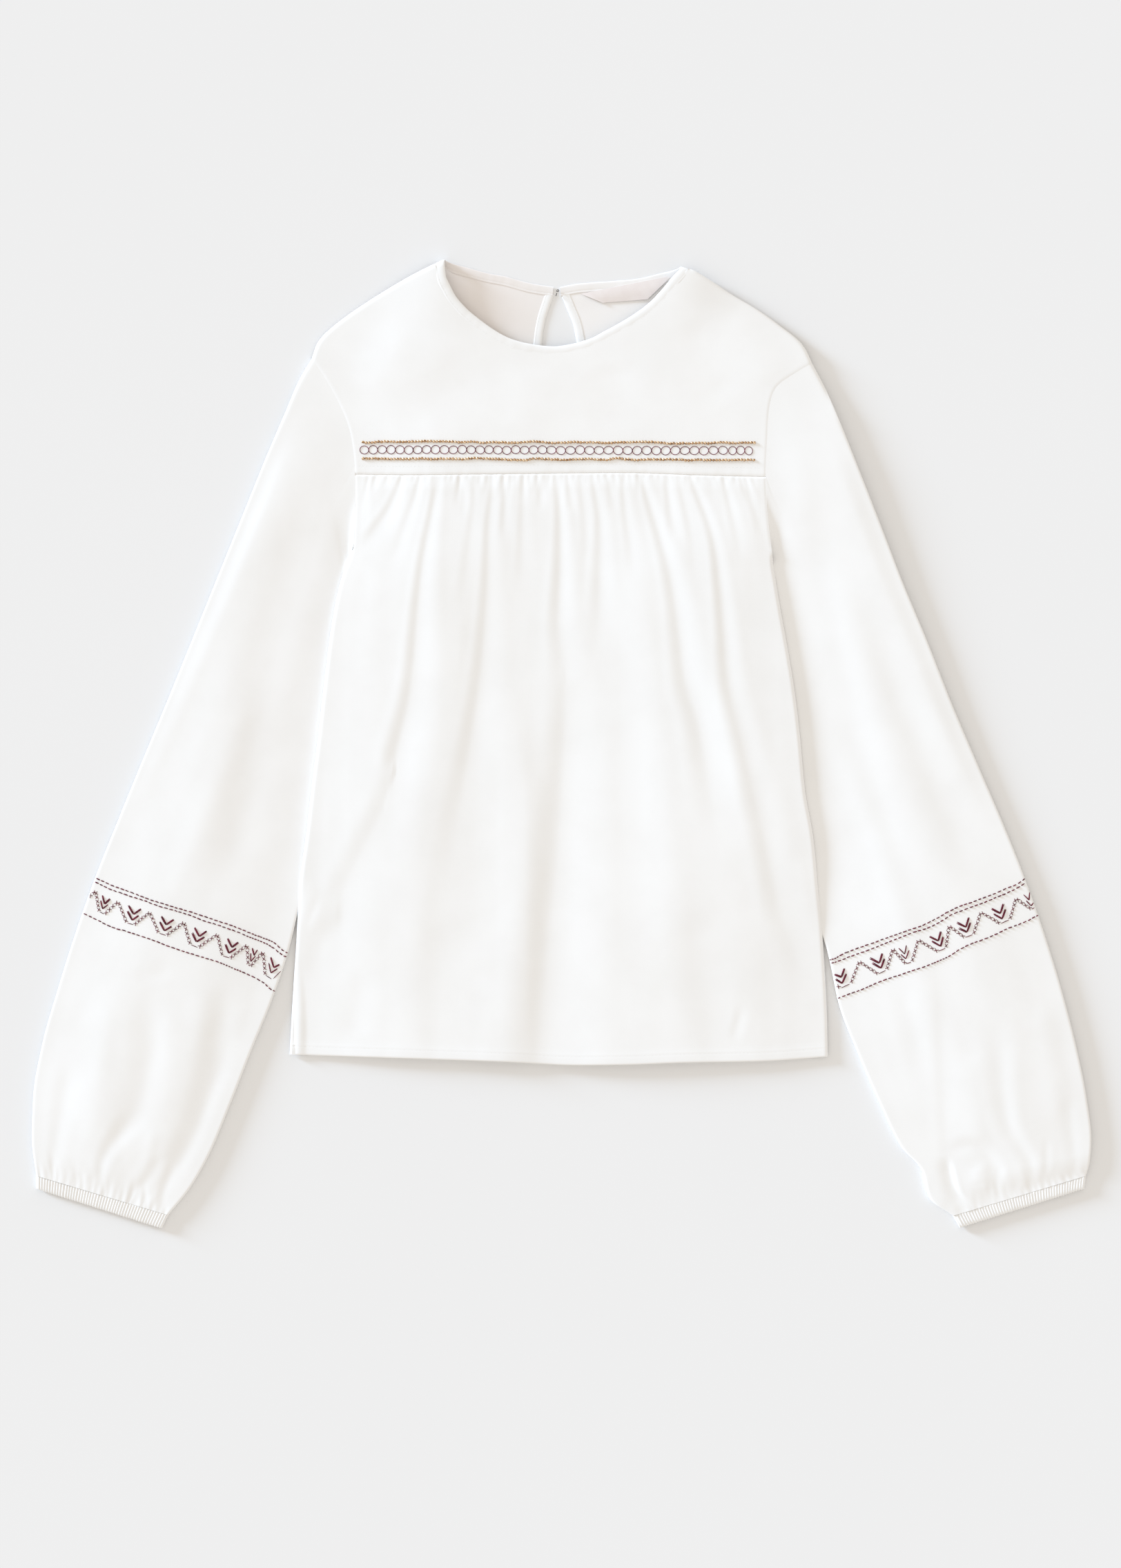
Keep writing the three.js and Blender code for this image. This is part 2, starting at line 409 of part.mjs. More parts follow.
// ---------- back panel with its keyhole ----------
// Depths of the upper rows below the neck edge at the centre back, one for each row of the patch
// above the yoke seam; the last open one is the foot of the keyhole.
const SLIT_ROWS = [NECK_BAND + SEAM + 0.1, 16, 28, 44, 58, 70, 79, SLIT_LENGTH + SLIT_BAND + 0.6];
function backPanel() {
  const slitHalf = down => down > SLIT_LENGTH ? 9.6 : lookUp(KEYHOLE, 'down', 'half', down) + SLIT_BAND + SEAM + 0.1;
  const slitMid = down => lookUp(KEYHOLE, 'down', 'mid', down);
  const neckY = NECK_BACK[SLIT_ROW].y, d0 = SLIT_ROWS[0];
  const topLine = [armholeInA[0], ...SHOULDER_A.slice(1, -1), { x: -98.8, y: 360.2 }, { x: -97.0, y: 356.1 },
    ...backNeckCut.slice(1, SLIT_ROW), { x: slitMid(d0) - slitHalf(d0), y: neckY - d0 }, { x: slitMid(d0) + slitHalf(d0), y: neckY - d0 },
    ...backNeckCut.slice(SLIT_ROW + 2, -1), { x: 96.4, y: 351.9 }, { x: 99.6, y: 356.4 },
    ...SHOULDER_B.slice(1, -1).reverse(), armholeInB[0]];
  const slit = topLine.findIndex((p, i) => i > 8 && p.y === neckY - d0);
  // upper part: rows meet the armholes at the armholes' own points
  const n = YOKE_ROW + 1, L = armholeInA.slice(0, n), R = armholeInB.slice(0, n);
  const half = (P, i) => ({ x: (P[i].x + P[i + 1].x) / 2, y: (P[i].y + P[i + 1].y) / 2 });
  const rowsOf = P => [P[0], P[1], half(P, 1), P[2], half(P, 2), P[3], half(P, 3), P[4], P[5]];
  const left = rowsOf(L), right = rowsOf(R), vs = fractions(left);
  const lower = bodyRow(0, [], 0), us = topLine.map(p => (p.x - topLine[0].x) / (topLine[topLine.length - 1].x - topLine[0].x));
  const columns = topLine.length, sideCount = SIDE_COLUMNS.length;
  // columns of the lower part: the side columns, then the rest shared evenly about the keyhole
  const middle = Array.from({ length: columns - 2 * sideCount }, (_, i) => (i + 1) / (columns - 2 * sideCount + 1));
  const below = bodyLeft.map((_, r) => bodyRow(r, middle, 0));
  const base = below[0];
  const T0 = topLine[0], T1 = topLine[columns - 1], B0 = base[0], B1 = base[columns - 1];
  const upper = left.slice(0, -1).map((l, r) => topLine.map((T, c) => {
    const u = us[c], v = vs[r], B = base[c], q = right[r];
    const f = k => (1 - v) * T[k] + v * B[k] + (1 - u) * l[k] + u * q[k]
      - ((1 - u) * (1 - v) * T0[k] + u * (1 - v) * T1[k] + (1 - u) * v * B0[k] + u * v * B1[k]);
    return { x: f('x'), y: f('y'), low: 0 };
  }));
  // near the keyhole the rows lie at its own depths and the two columns beside it follow its outline
  for (let r = 1; r < upper.length; r++) {
    const row = upper[r], down = SLIT_ROWS[r], mid = slitMid(Math.min(down, SLIT_LENGTH)), h = slitHalf(down);
    const xl = row[slit].x, xr = row[slit + 1].x;
    for (let c = 0; c < columns; c++) {
      const away = c <= slit ? xl - row[c].x : row[c].x - xr;
      row[c].x += (c <= slit ? mid - h - xl : mid + h - xr) * (1 - smooth(away / 80));
      row[c].y = lerp(row[c].y, neckY - down, 1 - smooth(away / 60));
    }
  }
  const grid = [...upper, ...below];
  return wall('back_panel', grid.map(row => row.map(p => ({ x: p.x, y: p.y, lo: p.low, hi: p.low + CLOTH }))),
    (r, c) => !(c === slit && r < upper.length - 1));
}

// ---------- sleeves and cuffs: flattened tubes ----------
function sleeveStations(table, armhole, height, airMax, walls) {
  const f = fractions(armhole), chord0 = armhole[0], chord1 = armhole[armhole.length - 1];
  const bulge = armhole.map((p, i) => ({ x: p.x - lerp(chord0.x, chord1.x, f[i]), y: p.y - lerp(chord0.y, chord1.y, f[i]) }));
  return table.map((row, k) => {
    const length = Math.hypot(row.ix - row.ox, row.iy - row.oy);
    const ss = [f[0], ...refine(f.slice(1, -1), 1), f[f.length - 1]];
    const point = s => {
      let i = 0; while (i < f.length - 2 && s > f[i + 1]) i++;
      const q = clamp((s - f[i]) / (f[i + 1] - f[i]), 0, 1);
      return [lerp(row.ox, row.ix, s) + row.curve * lerp(bulge[i].x, bulge[i + 1].x, q),
        lerp(row.oy, row.iy, s) + row.curve * lerp(bulge[i].y, bulge[i + 1].y, q)];
    };
    const high = s => {
      const fromOuter = s * length, fromInner = (1 - s) * length - row.tuck - 8;
      return height + airMax * row.air * smooth((fromOuter - 2) / 26) * smooth(fromInner / 26);
    };
    const e = 2.6 / length, d = walls / length;
    const topS = [e, ...ss.slice(1, -1).filter(s => s > 1.6 * e && s < 1 - 1.6 * e), 1 - e];
    const lowS = [1 - e, ...f.slice(1, -1).filter(s => s > 1.6 * e && s < 1 - 1.6 * e).reverse(), e];
    const outer = [[...point(0), height / 2], ...topS.map(s => [...point(s), high(s)]),
      [...point(1), height / 2], ...lowS.map(s => [...point(s), 0])];
    const inner = [[...point(d), height / 2], ...topS.map(s => [...point(s), high(s) - walls]),
      [...point(1 - d), height / 2], ...lowS.map(s => [...point(s), walls])];
    return { outer, inner };
  });
}
function sleeve(name, table, armholeOut, flip) {
  const own = table.map(r => ({ ...r }));
  own[0].ox = armholeOut[0].x; own[0].oy = armholeOut[0].y;
  own[0].ix = armholeOut[8].x; own[0].iy = armholeOut[8].y;
  return tubeWall(name, sleeveStations(own, armholeOut, EDGE_H, SLEEVE_AIR, CLOTH), flip);
}
function cuff(name, table, armhole, flip) {
  return tubeWall(name, sleeveStations(table, armhole, CUFF_H, 0, CLOTH), flip);
}

// ---------- neck binding: one strip round the neck, open at the centre back ----------
function neckBinding() {
  const frontZ = (x, y) => frontLow(x, y) + CLOTH - NECK_WALL;
  const section = (edge, outer, lo, hi) => [
    [edge.x, edge.y, lo], [edge.x, edge.y, hi], [outer.x, outer.y, hi], [outer.x, outer.y, lo]];
  const stations = [];
  // back, from the keyhole to the left neck point; the strip lies right side down here
  const down = (edge, outer) => [
    [edge.x, edge.y, NECK_WALL], [edge.x, edge.y, 0], [outer.x, outer.y, 0], [outer.x, outer.y, NECK_WALL]];
  for (let i = SLIT_ROW; i >= 1; i--) stations.push(down(NECK_BACK[i], backBandOuter[i]));
  const turn = (at, side) => {
    // over the fold at the neck point: the strip stands on edge for a moment
    const z = NECK_WALL + 0.25, e = at.edge, o = at.outer, k = NECK_WALL;
    return [[e.x - at.nx * k, e.y - at.ny * k, z], [e.x, e.y, z], [o.x, o.y, z], [o.x - at.nx * k, o.y - at.ny * k, z]];
  };
  stations.push(down({ x: -86.0, y: 360.2 }, { x: -93.6, y: 356.6 }));
  stations.push(turn({ edge: { x: -87.2, y: 364.4 }, outer: { x: -94.6, y: 361.0 }, nx: -0.42, ny: 0.9 }));
  stations.push(section({ x: -89.0, y: 358.6 }, { x: -95.9, y: 355.4 }, EDGE_H - 0.3, EDGE_H - 0.3 + NECK_WALL));
  for (let i = 1; i < NECK_FRONT.length - 1; i++) {
    const z = Math.max(frontZ(frontBandOuter[i].x, frontBandOuter[i].y), EDGE_H - 0.2);
    stations.push(section(NECK_FRONT[i], frontBandOuter[i], z, z + NECK_WALL));
  }
  stations.push(section({ x: 90.0, y: 357.6 }, { x: 96.0, y: 353.2 }, EDGE_H - 0.3, EDGE_H - 0.3 + NECK_WALL));
  stations.push(turn({ edge: { x: 91.2, y: 362.0 }, outer: { x: 97.8, y: 358.6 }, nx: 0.45, ny: 0.89 }));
  stations.push(down({ x: 88.2, y: 357.6 }, { x: 94.0, y: 353.4 }));
  for (let i = NECK_BACK.length - 2; i >= SLIT_ROW + 1; i--) stations.push(down(NECK_BACK[i], backBandOuter[i]));
  return strip('neck_binding', stations);
}

// ---------- keyhole binding: one strip round the keyhole ----------
function keyholeBinding() {
  const top = NECK_BACK[SLIT_ROW].y, downs = [NECK_BAND + SEAM + 0.3, ...SLIT_ROWS.slice(1, -1)];
  const at = (d, side, out) => ({ x: lookUp(KEYHOLE, 'down', 'mid', d) + side * (lookUp(KEYHOLE, 'down', 'half', d) + out), y: top - d });
  const foot = (x, y) => ({ x: KEYHOLE[7].mid + x, y: top - y });
  const edge = [...downs.map(d => at(d, -1, 0)), foot(-4, SLIT_LENGTH - 2), foot(4, SLIT_LENGTH - 2), ...[...downs].reverse().map(d => at(d, 1, 0))];
  const outer = [...downs.map(d => at(d, -1, SLIT_BAND)), foot(-9, SLIT_LENGTH + SLIT_BAND), foot(9, SLIT_LENGTH + SLIT_BAND),
    ...[...downs].reverse().map(d => at(d, 1, SLIT_BAND))];
  return strip('keyhole_binding', edge.map((p, i) => {
    const q = outer[i], h = NECK_WALL - 0.2;
    return [[p.x, p.y, 0], [p.x, p.y, h], [q.x, q.y, h], [q.x, q.y, 0]];
  }));
}

// ---------- neck label, blank, sewn under the back binding and lying on the back panel ----------
function neckLabel() {
  const corners = { a: { x: 16.5, y: 338.3 }, b: { x: 79.5, y: 344.4 }, c: { x: 31.1, y: 332.8 }, d: { x: 65.4, y: 335.4 } };
  const z = CLOTH + SEAM, wallOf = 0.8, grid = [];
  for (let r = 0; r <= 3; r++) {
    grid.push([]);
    for (let c = 0; c <= 6; c++) {
      const u = c / 6, v = r / 3;
      const t = { x: lerp(corners.a.x, corners.b.x, u), y: lerp(corners.a.y, corners.b.y, u) };
      const b = { x: lerp(corners.c.x, corners.d.x, u), y: lerp(corners.c.y, corners.d.y, u) };
      grid[r].push({ x: lerp(t.x, b.x, v), y: lerp(t.y, b.y, v), lo: z, hi: z + wallOf });
    }
  }
  return wall('neck_label', grid, () => true, 0xeee5df);
}

// ---------- hook and thread loop closing the top of the keyhole ----------
function neckHook() {
  const y = NECK_BACK[SLIT_ROW].y - 3.4, z = NECK_WALL + 0.9;
  const path = new THREE.CatmullRomCurve3([
    new THREE.Vector3(-8.6, y - 2.0, z), new THREE.Vector3(-5.6, y - 1.6, z),
    new THREE.Vector3(-3.0, y - 0.6, z), new THREE.Vector3(-2.2, y + 0.6, z),
    new THREE.Vector3(-3.4, y + 1.2, z)]);
  const section = new THREE.Shape();
  for (let i = 0; i < 6; i++) {
    const a = Math.PI / 3 * i, px = 0.4 * Math.cos(a), py = 0.4 * Math.sin(a);
    if (i) section.lineTo(px, py); else section.moveTo(px, py);
  }
  section.closePath();
  const g = new THREE.ExtrudeGeometry(section, { steps: 10, extrudePath: path, curveSegments: 1 });
  const m = new THREE.Mesh(g, new THREE.MeshStandardMaterial({ color: 0x3a3230, roughness: 0.4, metalness: 0.8 }));
  m.name = 'neck_hook';
  return m;
}

// ---------- the top ----------
const top = new THREE.Group();
top.add(
  frontYoke(), frontPanel(), backPanel(),
  sleeve('sleeve_right', SLEEVE_A, armholeOutA, false), sleeve('sleeve_left', SLEEVE_B, armholeOutB, true),
  cuff('cuff_right', CUFF_A, ARMHOLE_A, false), cuff('cuff_left', CUFF_B, ARMHOLE_B, true),
  neckBinding(), keyholeBinding(), neckLabel(), neckHook());

export default top;
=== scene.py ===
# Long-sleeved smock top in white cotton jersey, laid flat on its back on a pale surface.
# Tables are in millimetres in the part's own frame: +X to the right, +Y towards the neck, +Z up.
import math

import bpy
import numpy as np
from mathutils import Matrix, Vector
from mathutils.bvhtree import BVHTree


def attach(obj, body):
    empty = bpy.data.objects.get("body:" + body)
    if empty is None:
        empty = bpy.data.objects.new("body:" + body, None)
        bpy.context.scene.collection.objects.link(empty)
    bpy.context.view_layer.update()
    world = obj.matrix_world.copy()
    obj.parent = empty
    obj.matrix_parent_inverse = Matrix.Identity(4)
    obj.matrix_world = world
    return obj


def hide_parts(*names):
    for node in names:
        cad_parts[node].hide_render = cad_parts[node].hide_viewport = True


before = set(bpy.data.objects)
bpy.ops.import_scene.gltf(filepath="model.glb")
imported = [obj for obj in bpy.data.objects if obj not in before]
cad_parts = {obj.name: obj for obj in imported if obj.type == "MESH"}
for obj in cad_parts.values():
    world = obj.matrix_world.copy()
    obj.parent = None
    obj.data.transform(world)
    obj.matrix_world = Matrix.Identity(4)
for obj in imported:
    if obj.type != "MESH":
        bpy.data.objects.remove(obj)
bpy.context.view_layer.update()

# ------------------------------------------------------------------ the top's own tables (mm)
ARMHOLE_A = [(-187.8, 290.7), (-178.0, 276.1), (-168.1, 258.4), (-160.3, 239.7), (-156.7, 222.0),
             (-155.3, 203.8), (-155.1, 184.1), (-155.6, 165.9), (-156.1, 150.3)]
ARMHOLE_B = [(188.6, 287.0), (173.0, 277.7), (161.1, 268.3), (156.4, 254.3), (154.6, 228.3),
             (153.5, 201.8), (154.3, 182.5), (155.9, 163.3), (158.0, 147.2)]
SIDE_A = [(-156.1, 150.3), (-160.8, 138.3), (-165.0, 126.9), (-169.7, 107.6), (-174.3, 80.1),
          (-178.5, 46.3), (-183.2, 4.7), (-187.8, -31.2), (-192.0, -67.6), (-196.7, -103.0),
          (-198.8, -135.7), (-201.4, -177.3), (-203.5, -213.7), (-204.5, -233.5)]
SIDE_B = [(158.0, 147.2), (159.5, 135.7), (161.4, 123.2), (164.7, 103.5), (169.4, 77.5),
          (175.1, 43.7), (179.8, 4.7), (183.4, -34.3), (189.7, -70.7), (193.3, -109.7),
          (196.4, -140.9), (198.5, -172.1), (200.1, -208.5), (200.6, -235.0)]
SHOULDER_A = [(-187.8, 290.7), (-183.2, 303.2), (-173.3, 313.6), (-156.1, 326.6), (-135.3, 340.1),
              (-114.0, 352.6), (-97.0, 361.2)]
SHOULDER_B = [(188.6, 287.0), (181.3, 301.1), (165.8, 314.1), (147.6, 327.1), (128.3, 338.5),
              (112.7, 348.9), (100.2, 356.6)]
NECK_FRONT = [(-90.5, 360.4), (-85.6, 348.9), (-79.2, 337.0), (-70.9, 327.6), (-60.5, 318.8),
              (-50.1, 311.5), (-38.1, 305.2), (-25.1, 301.6), (-6.4, 299.5), (11.3, 302.1),
              (22.8, 305.8), (34.7, 312.0), (52.9, 322.4), (69.0, 334.9), (77.4, 344.2),
              (84.6, 352.6), (91.5, 359.4)]
NECK_BACK = [(-87.0, 363.6), (-68.8, 358.8), (-55.2, 355.2), (-41.7, 352.6), (-22.5, 347.4),
             (-4.6, 344.8), (-1.4, 344.8), (13.9, 347.4), (34.7, 348.9), (57.6, 351.0),
             (73.7, 354.6), (89.0, 358.0)]
YOKE_SEAM = [(-155.3, 203.8), (-110.9, 203.3), (-58.9, 203.8), (-6.9, 204.4), (46.1, 204.9),
             (97.1, 203.3), (153.5, 201.8)]
HEM = [(-204.5, -233.5), (-152.5, -235.0), (-100.5, -236.6), (-40.7, -238.7), (11.3, -241.3),
       (50.3, -240.8), (91.9, -239.2), (149.6, -238.2), (200.6, -235.0)]
# sleeve stations: outer x, y, inner x, y, share of the armhole's curve, tuck, share of the air
SLEEVE_A = [(-187.8, 290.7, -156.1, 150.3, 1.00, 0, 0.55), (-197.2, 274.6, -158.3, 139.4, 0.85, 2.5, 0.65),
            (-208.1, 249.1, -162.6, 127.7, 0.65, 2.5, 0.75), (-222.7, 214.8, -158.7, 107.6, 0.45, 10, 0.85),
            (-239.8, 172.6, -153.0, 80.1, 0.28, 21, 0.95), (-258.1, 127.4, -152.5, 46.3, 0.14, 26, 1.00),
            (-276.2, 82.7, -158.7, 4.7, 0.05, 24, 1.00), (-296.5, 32.8, -166.0, -31.7, 0.00, 22, 1.00),
            (-317.3, -17.2, -177.5, -75.9, 0.00, 16, 1.00), (-335.5, -61.9, -194.1, -111.3, 0.00, 5, 1.00),
            (-349.6, -97.2, -205.5, -156.0, 0.00, 0, 1.00), (-365.2, -140.9, -218.0, -192.9, 0.00, 0, 1.00),
            (-378.7, -183.6, -233.1, -229.8, 0.00, 0, 1.00), (-390.7, -226.2, -249.2, -270.9, 0.00, 0, 1.00),
            (-397.4, -265.7, -265.9, -310.4, 0.00, 0, 0.95), (-398.4, -296.9, -279.9, -334.4, 0.00, 0, 0.80),
            (-395.1, -324.5, -295.8, -354.1, 0.00, 0, 0.45)]
SLEEVE_B = [(188.6, 287.0, 158.0, 147.2, 1.00, 0, 0.55), (197.5, 269.9, 157.0, 136.4, 0.85, 2.5, 0.65),
            (208.9, 243.9, 158.9, 124.4, 0.65, 2.5, 0.75), (223.5, 207.5, 154.3, 103.5, 0.45, 10, 0.85),
            (240.6, 163.8, 150.2, 77.5, 0.28, 20, 0.95), (256.2, 123.2, 151.2, 43.7, 0.14, 24, 1.00),
            (274.4, 79.6, 158.0, 2.1, 0.05, 22, 1.00), (294.2, 29.6, 165.2, -36.9, 0.00, 19, 1.00),
            (315.5, -20.3, 175.1, -83.7, 0.00, 16, 1.00), (333.7, -62.9, 190.7, -125.3, 0.00, 5, 1.00),
            (347.8, -98.3, 201.6, -161.7, 0.00, 0, 1.00), (363.9, -144.0, 208.9, -195.5, 0.00, 0, 1.00),
            (376.9, -186.7, 223.5, -233.0, 0.00, 0, 1.00), (387.8, -229.3, 239.6, -269.9, 0.00, 0, 1.00),
            (395.1, -265.7, 256.2, -303.2, 0.00, 0, 0.95), (398.7, -296.9, 271.6, -321.0, 0.00, 0, 0.80),
            (397.6, -313.5, 277.2, -341.4, 0.00, 0, 0.62), (394.8, -324.5, 294.7, -354.6, 0.00, 0, 0.45)]
CUFF_A = [(-395.2, -325.2, -296.0, -354.8), (-395.4, -334.4, -300.8, -364.4)]
CUFF_B = [(394.9, -325.2, 295.0, -355.3), (393.6, -334.4, 299.9, -363.8)]
# keyhole: depth below the back neck edge, half width
KEYHOLE = [(6.0, 2.8), (16, 6.6), (28, 10.7), (44, 13.4), (58, 14.2), (70, 12.6), (79, 9.0), (85.6, 4.6), (88, 0.0)]
KEYHOLE_MID = [(0, -3.0), (16, -2.6), (28, -1.9), (44, -1.4), (58, -1.2), (88, -1.2)]

OVER_SLEEVE, OVER_WIDTH, OVER_RUN = 3.5, 31.0, 26.0
AIR, SLEEVE_AIR = 2.7, 1.5
FRONT_LIFT, BACK_LIFT, EDGE_LIFT = (5.0, 3.0), 0.2, 1.9
CUFF_H = 3.7
NECK_POINTS = [(-88.6, 361.5), (94.0, 358.0)]
NECK_BAND, NECK_WALL, SLIT_BAND, SLIT_WALL = 7.3, 1.1, 6.4, 1.0
THICK = 0.62                 # one layer of jersey as shown
NECK_Y = 344.8


# ------------------------------------------------------------------ small helpers
def smooth(t):
    t = np.clip(t, 0.0, 1.0)
    return t * t * (3 - 2 * t)


def roll(c):
    """Height of a rounded fold, from 1 on top (c = 0) to 0 at its very edge (c = 1)."""
    return np.maximum(1 - np.clip(c, 0, 1) ** 2.5, 0) ** 0.4


def pchip(xk, yk):
    """Monotone cubic through the points, as a function."""
    x, y = np.asarray(xk, float), np.asarray(yk, float)
    if x[0] > x[-1]:
        x, y = x[::-1], y[::-1]
    h = np.diff(x)
    d = np.diff(y) / h
    m = np.zeros_like(y)
    m[0], m[-1] = d[0], d[-1]
    for i in range(1, len(y) - 1):
        if d[i - 1] * d[i] > 0:
            w1, w2 = 2 * h[i] + h[i - 1], h[i] + 2 * h[i - 1]
            m[i] = (w1 + w2) / (w1 / d[i - 1] + w2 / d[i])

    def f(q):
        q = np.clip(np.asarray(q, float), x[0], x[-1])
        i = np.clip(np.searchsorted(x, q) - 1, 0, len(h) - 1)
        t = (q - x[i]) / h[i]
        return ((1 + 2 * t) * (1 - t) ** 2 * y[i] + t * (1 - t) ** 2 * h[i] * m[i]
                + t * t * (3 - 2 * t) * y[i + 1] + t * t * (t - 1) * h[i] * m[i + 1])
    return f


def curve(points, step=1.0):
    """Catmull-Rom line through the points, as evenly spaced points."""
    p = np.asarray(points, float)
    if len(p) == 2:
        n = max(2, int(np.linalg.norm(p[1] - p[0]) / step) + 1)
        return p[0] + (p[1] - p[0]) * np.linspace(0, 1, n)[:, None]
    t = np.concatenate([[0], np.cumsum(np.linalg.norm(np.diff(p, axis=0), axis=1))])
    m = np.zeros_like(p)
    m[1:-1] = (p[2:] - p[:-2]) / (t[2:] - t[:-2])[:, None]
    m[0] = (p[1] - p[0]) / (t[1] - t[0])
    m[-1] = (p[-1] - p[-2]) / (t[-1] - t[-2])
    q = np.linspace(0, t[-1], max(4, int(t[-1] / (step * 0.5)) + 1))
    i = np.clip(np.searchsorted(t, q) - 1, 0, len(p) - 2)
    h = (t[i + 1] - t[i])[:, None]
    u = ((q - t[i])[:, None]) / h
    c = ((1 + 2 * u) * (1 - u) ** 2 * p[i] + u * (1 - u) ** 2 * h * m[i]
         + u * u * (3 - 2 * u) * p[i + 1] + u * u * (u - 1) * h * m[i + 1])
    return resample(c, step)


def lengths(p):
    return np.concatenate([[0], np.cumsum(np.linalg.norm(np.diff(p, axis=0), axis=1))])


def resample(p, step):
    s = lengths(p)
    n = max(2, int(round(s[-1] / step)) + 1)
    q = np.linspace(0, s[-1], n)
    return np.stack([np.interp(q, s, p[:, k]) for k in range(p.shape[1])], axis=1)


def at_fraction(p, f):
    s = lengths(p) / lengths(p)[-1]
    return np.stack([np.interp(f, s, p[:, k]) for k in range(p.shape[1])], axis=-1)


def offset(p, d):
    """A line moved sideways by d, to the left of its direction."""
    t = np.gradient(p, axis=0)
    t /= np.linalg.norm(t, axis=1)[:, None] + 1e-12
    return p + d * np.stack([-t[:, 1], t[:, 0]], axis=1)


def nearest(line, x, y):
    """Distance to a line of points, the fraction along it, and the signed distance (left of it > 0)."""
    shape = np.shape(x)
    X, Y = np.ravel(x), np.ravel(y)
    a, b = line[:-1], line[1:]
    ab = b - a
    L2 = (ab ** 2).sum(1) + 1e-12
    s = lengths(line)
    best = np.full(X.shape, 1e9)
    frac, side = np.zeros(X.shape), np.zeros(X.shape)
    for i in range(len(a)):
        t = np.clip(((X - a[i, 0]) * ab[i, 0] + (Y - a[i, 1]) * ab[i, 1]) / L2[i], 0, 1)
        dx, dy = X - a[i, 0] - t * ab[i, 0], Y - a[i, 1] - t * ab[i, 1]
        d = np.hypot(dx, dy)
        k = d < best
        best[k] = d[k]
        frac[k] = (s[i] + t[k] * (s[i + 1] - s[i])) / s[-1]
        side[k] = np.sign(ab[i, 0] * dy[k] - ab[i, 1] * dx[k])
    return best.reshape(shape), frac.reshape(shape), (best * side).reshape(shape)


def lattice(seed):
    return np.random.default_rng(seed).uniform(-1, 1, (64, 64))


def noise(x, y, sx, sy, seed):
    """Smooth value noise of cell size sx by sy, from -1 to 1."""
    g = lattice(seed)
    u, v = np.asarray(x) / sx + 31.7, np.asarray(y) / sy + 17.3
    i, j = np.floor(u).astype(int), np.floor(v).astype(int)
    a, b = u - i, v - j
    a, b = a * a * a * (a * (6 * a - 15) + 10), b * b * b * (b * (6 * b - 15) + 10)
    q = lambda m, n: g[(i + m) % 64, (j + n) % 64]
    return ((q(0, 0) * (1 - a) + q(1, 0) * a) * (1 - b) + (q(0, 1) * (1 - a) + q(1, 1) * a) * b)


def crease(x, y, path, depth, left, right, stops=(0.0, 0.25, 0.75, 1.0), shape=(0, 1, 1, 0), flank=0.22):
    """A soft trough (depth > 0) or ridge (depth < 0) along a path; left and right are its half widths
    on the two sides, each one number or (start, end). It is deeper where it is wider, so its flanks keep
    the same slope."""
    line = curve(path, 4.0)
    ends = np.linspace(0, 1, len(line))
    wide = lambda w, f: np.interp(f, (0, 1), w) if np.ndim(w) else w * np.ones(np.shape(f))
    t = np.gradient(line, axis=0)
    t /= np.linalg.norm(t, axis=1)[:, None] + 1e-12
    over = 0.6 * np.minimum(wide(right, ends), 12.0) if depth > 0 else 0.7 * wide(right, ends)
    line = line + over[:, None] * np.stack([-t[:, 1], t[:, 0]], axis=1)
    w = 3.2 * max(np.max(left), np.max(right)) + 2
    lo, hi = line.min(0) - w, line.max(0) + w
    out = np.zeros(np.shape(x))
    k = (x > lo[0]) & (x < hi[0]) & (y > lo[1]) & (y < hi[1])
    if not k.any():
        return out
    d, f, s = nearest(line, x[k], y[k])
    wl = np.interp(f, (0, 1), left) if np.ndim(left) else left
    wr = np.interp(f, (0, 1), right) if np.ndim(right) else right
    q = d / np.where(s >= 0, wl, wr)
    amp = np.interp(f, stops, shape)
    amp = amp * amp * (3 - 2 * amp)
    prof = -np.exp(-q * q) + flank * np.exp(-((q - 1.9) / 0.8) ** 2)
    a, b = wide(left, f), wide(right, f)
    out[k] = depth * (0.031 * np.minimum(a, b) + 0.0058 * np.maximum(a, b)) * amp * prof
    return out


# ------------------------------------------------------------------ outlines
arm_a, arm_b = curve(ARMHOLE_A, 1.0), curve(ARMHOLE_B, 1.0)
side_a, side_b = curve(SIDE_A, 2.0), curve(SIDE_B, 2.0)
shoulder_a, shoulder_b = curve(SHOULDER_A, 1.0), curve(SHOULDER_B, 1.0)
hem_line, seam_line = curve(HEM, 2.0), curve(YOKE_SEAM, 2.0)
arm_top_a, arm_top_b = ARMHOLE_A[0][1], ARMHOLE_B[0][1]
arm_low_a, arm_low_b = ARMHOLE_A[8][1], ARMHOLE_B[8][1]
left_of = pchip([p[1] for p in ARMHOLE_A] + [p[1] for p in SIDE_A[1:]],
                [p[0] for p in ARMHOLE_A] + [p[0] for p in SIDE_A[1:]])
right_of = pchip([p[1] for p in ARMHOLE_B] + [p[1] for p in SIDE_B[1:]],
                 [p[0] for p in ARMHOLE_B] + [p[0] for p in SIDE_B[1:]])
seam_y = pchip([p[0] for p in YOKE_SEAM], [p[1] for p in YOKE_SEAM])
hem_y = pchip([p[0] for p in HEM], [p[1] for p in HEM])
slit_half = pchip([k[0] for k in KEYHOLE], [k[1] for k in KEYHOLE])
slit_mid = pchip([k[0] for k in KEYHOLE_MID], [k[1] for k in KEYHOLE_MID])


# ------------------------------------------------------------------ heights of the layers
def over_sleeve(y, side):
    s = SIDE_A if side < 0 else SIDE_B
    return smooth((s[0][1] - y) / (s[0][1] - s[2][1])) * smooth((y - s[11][1]) / (s[10][1] - s[11][1] + 14))


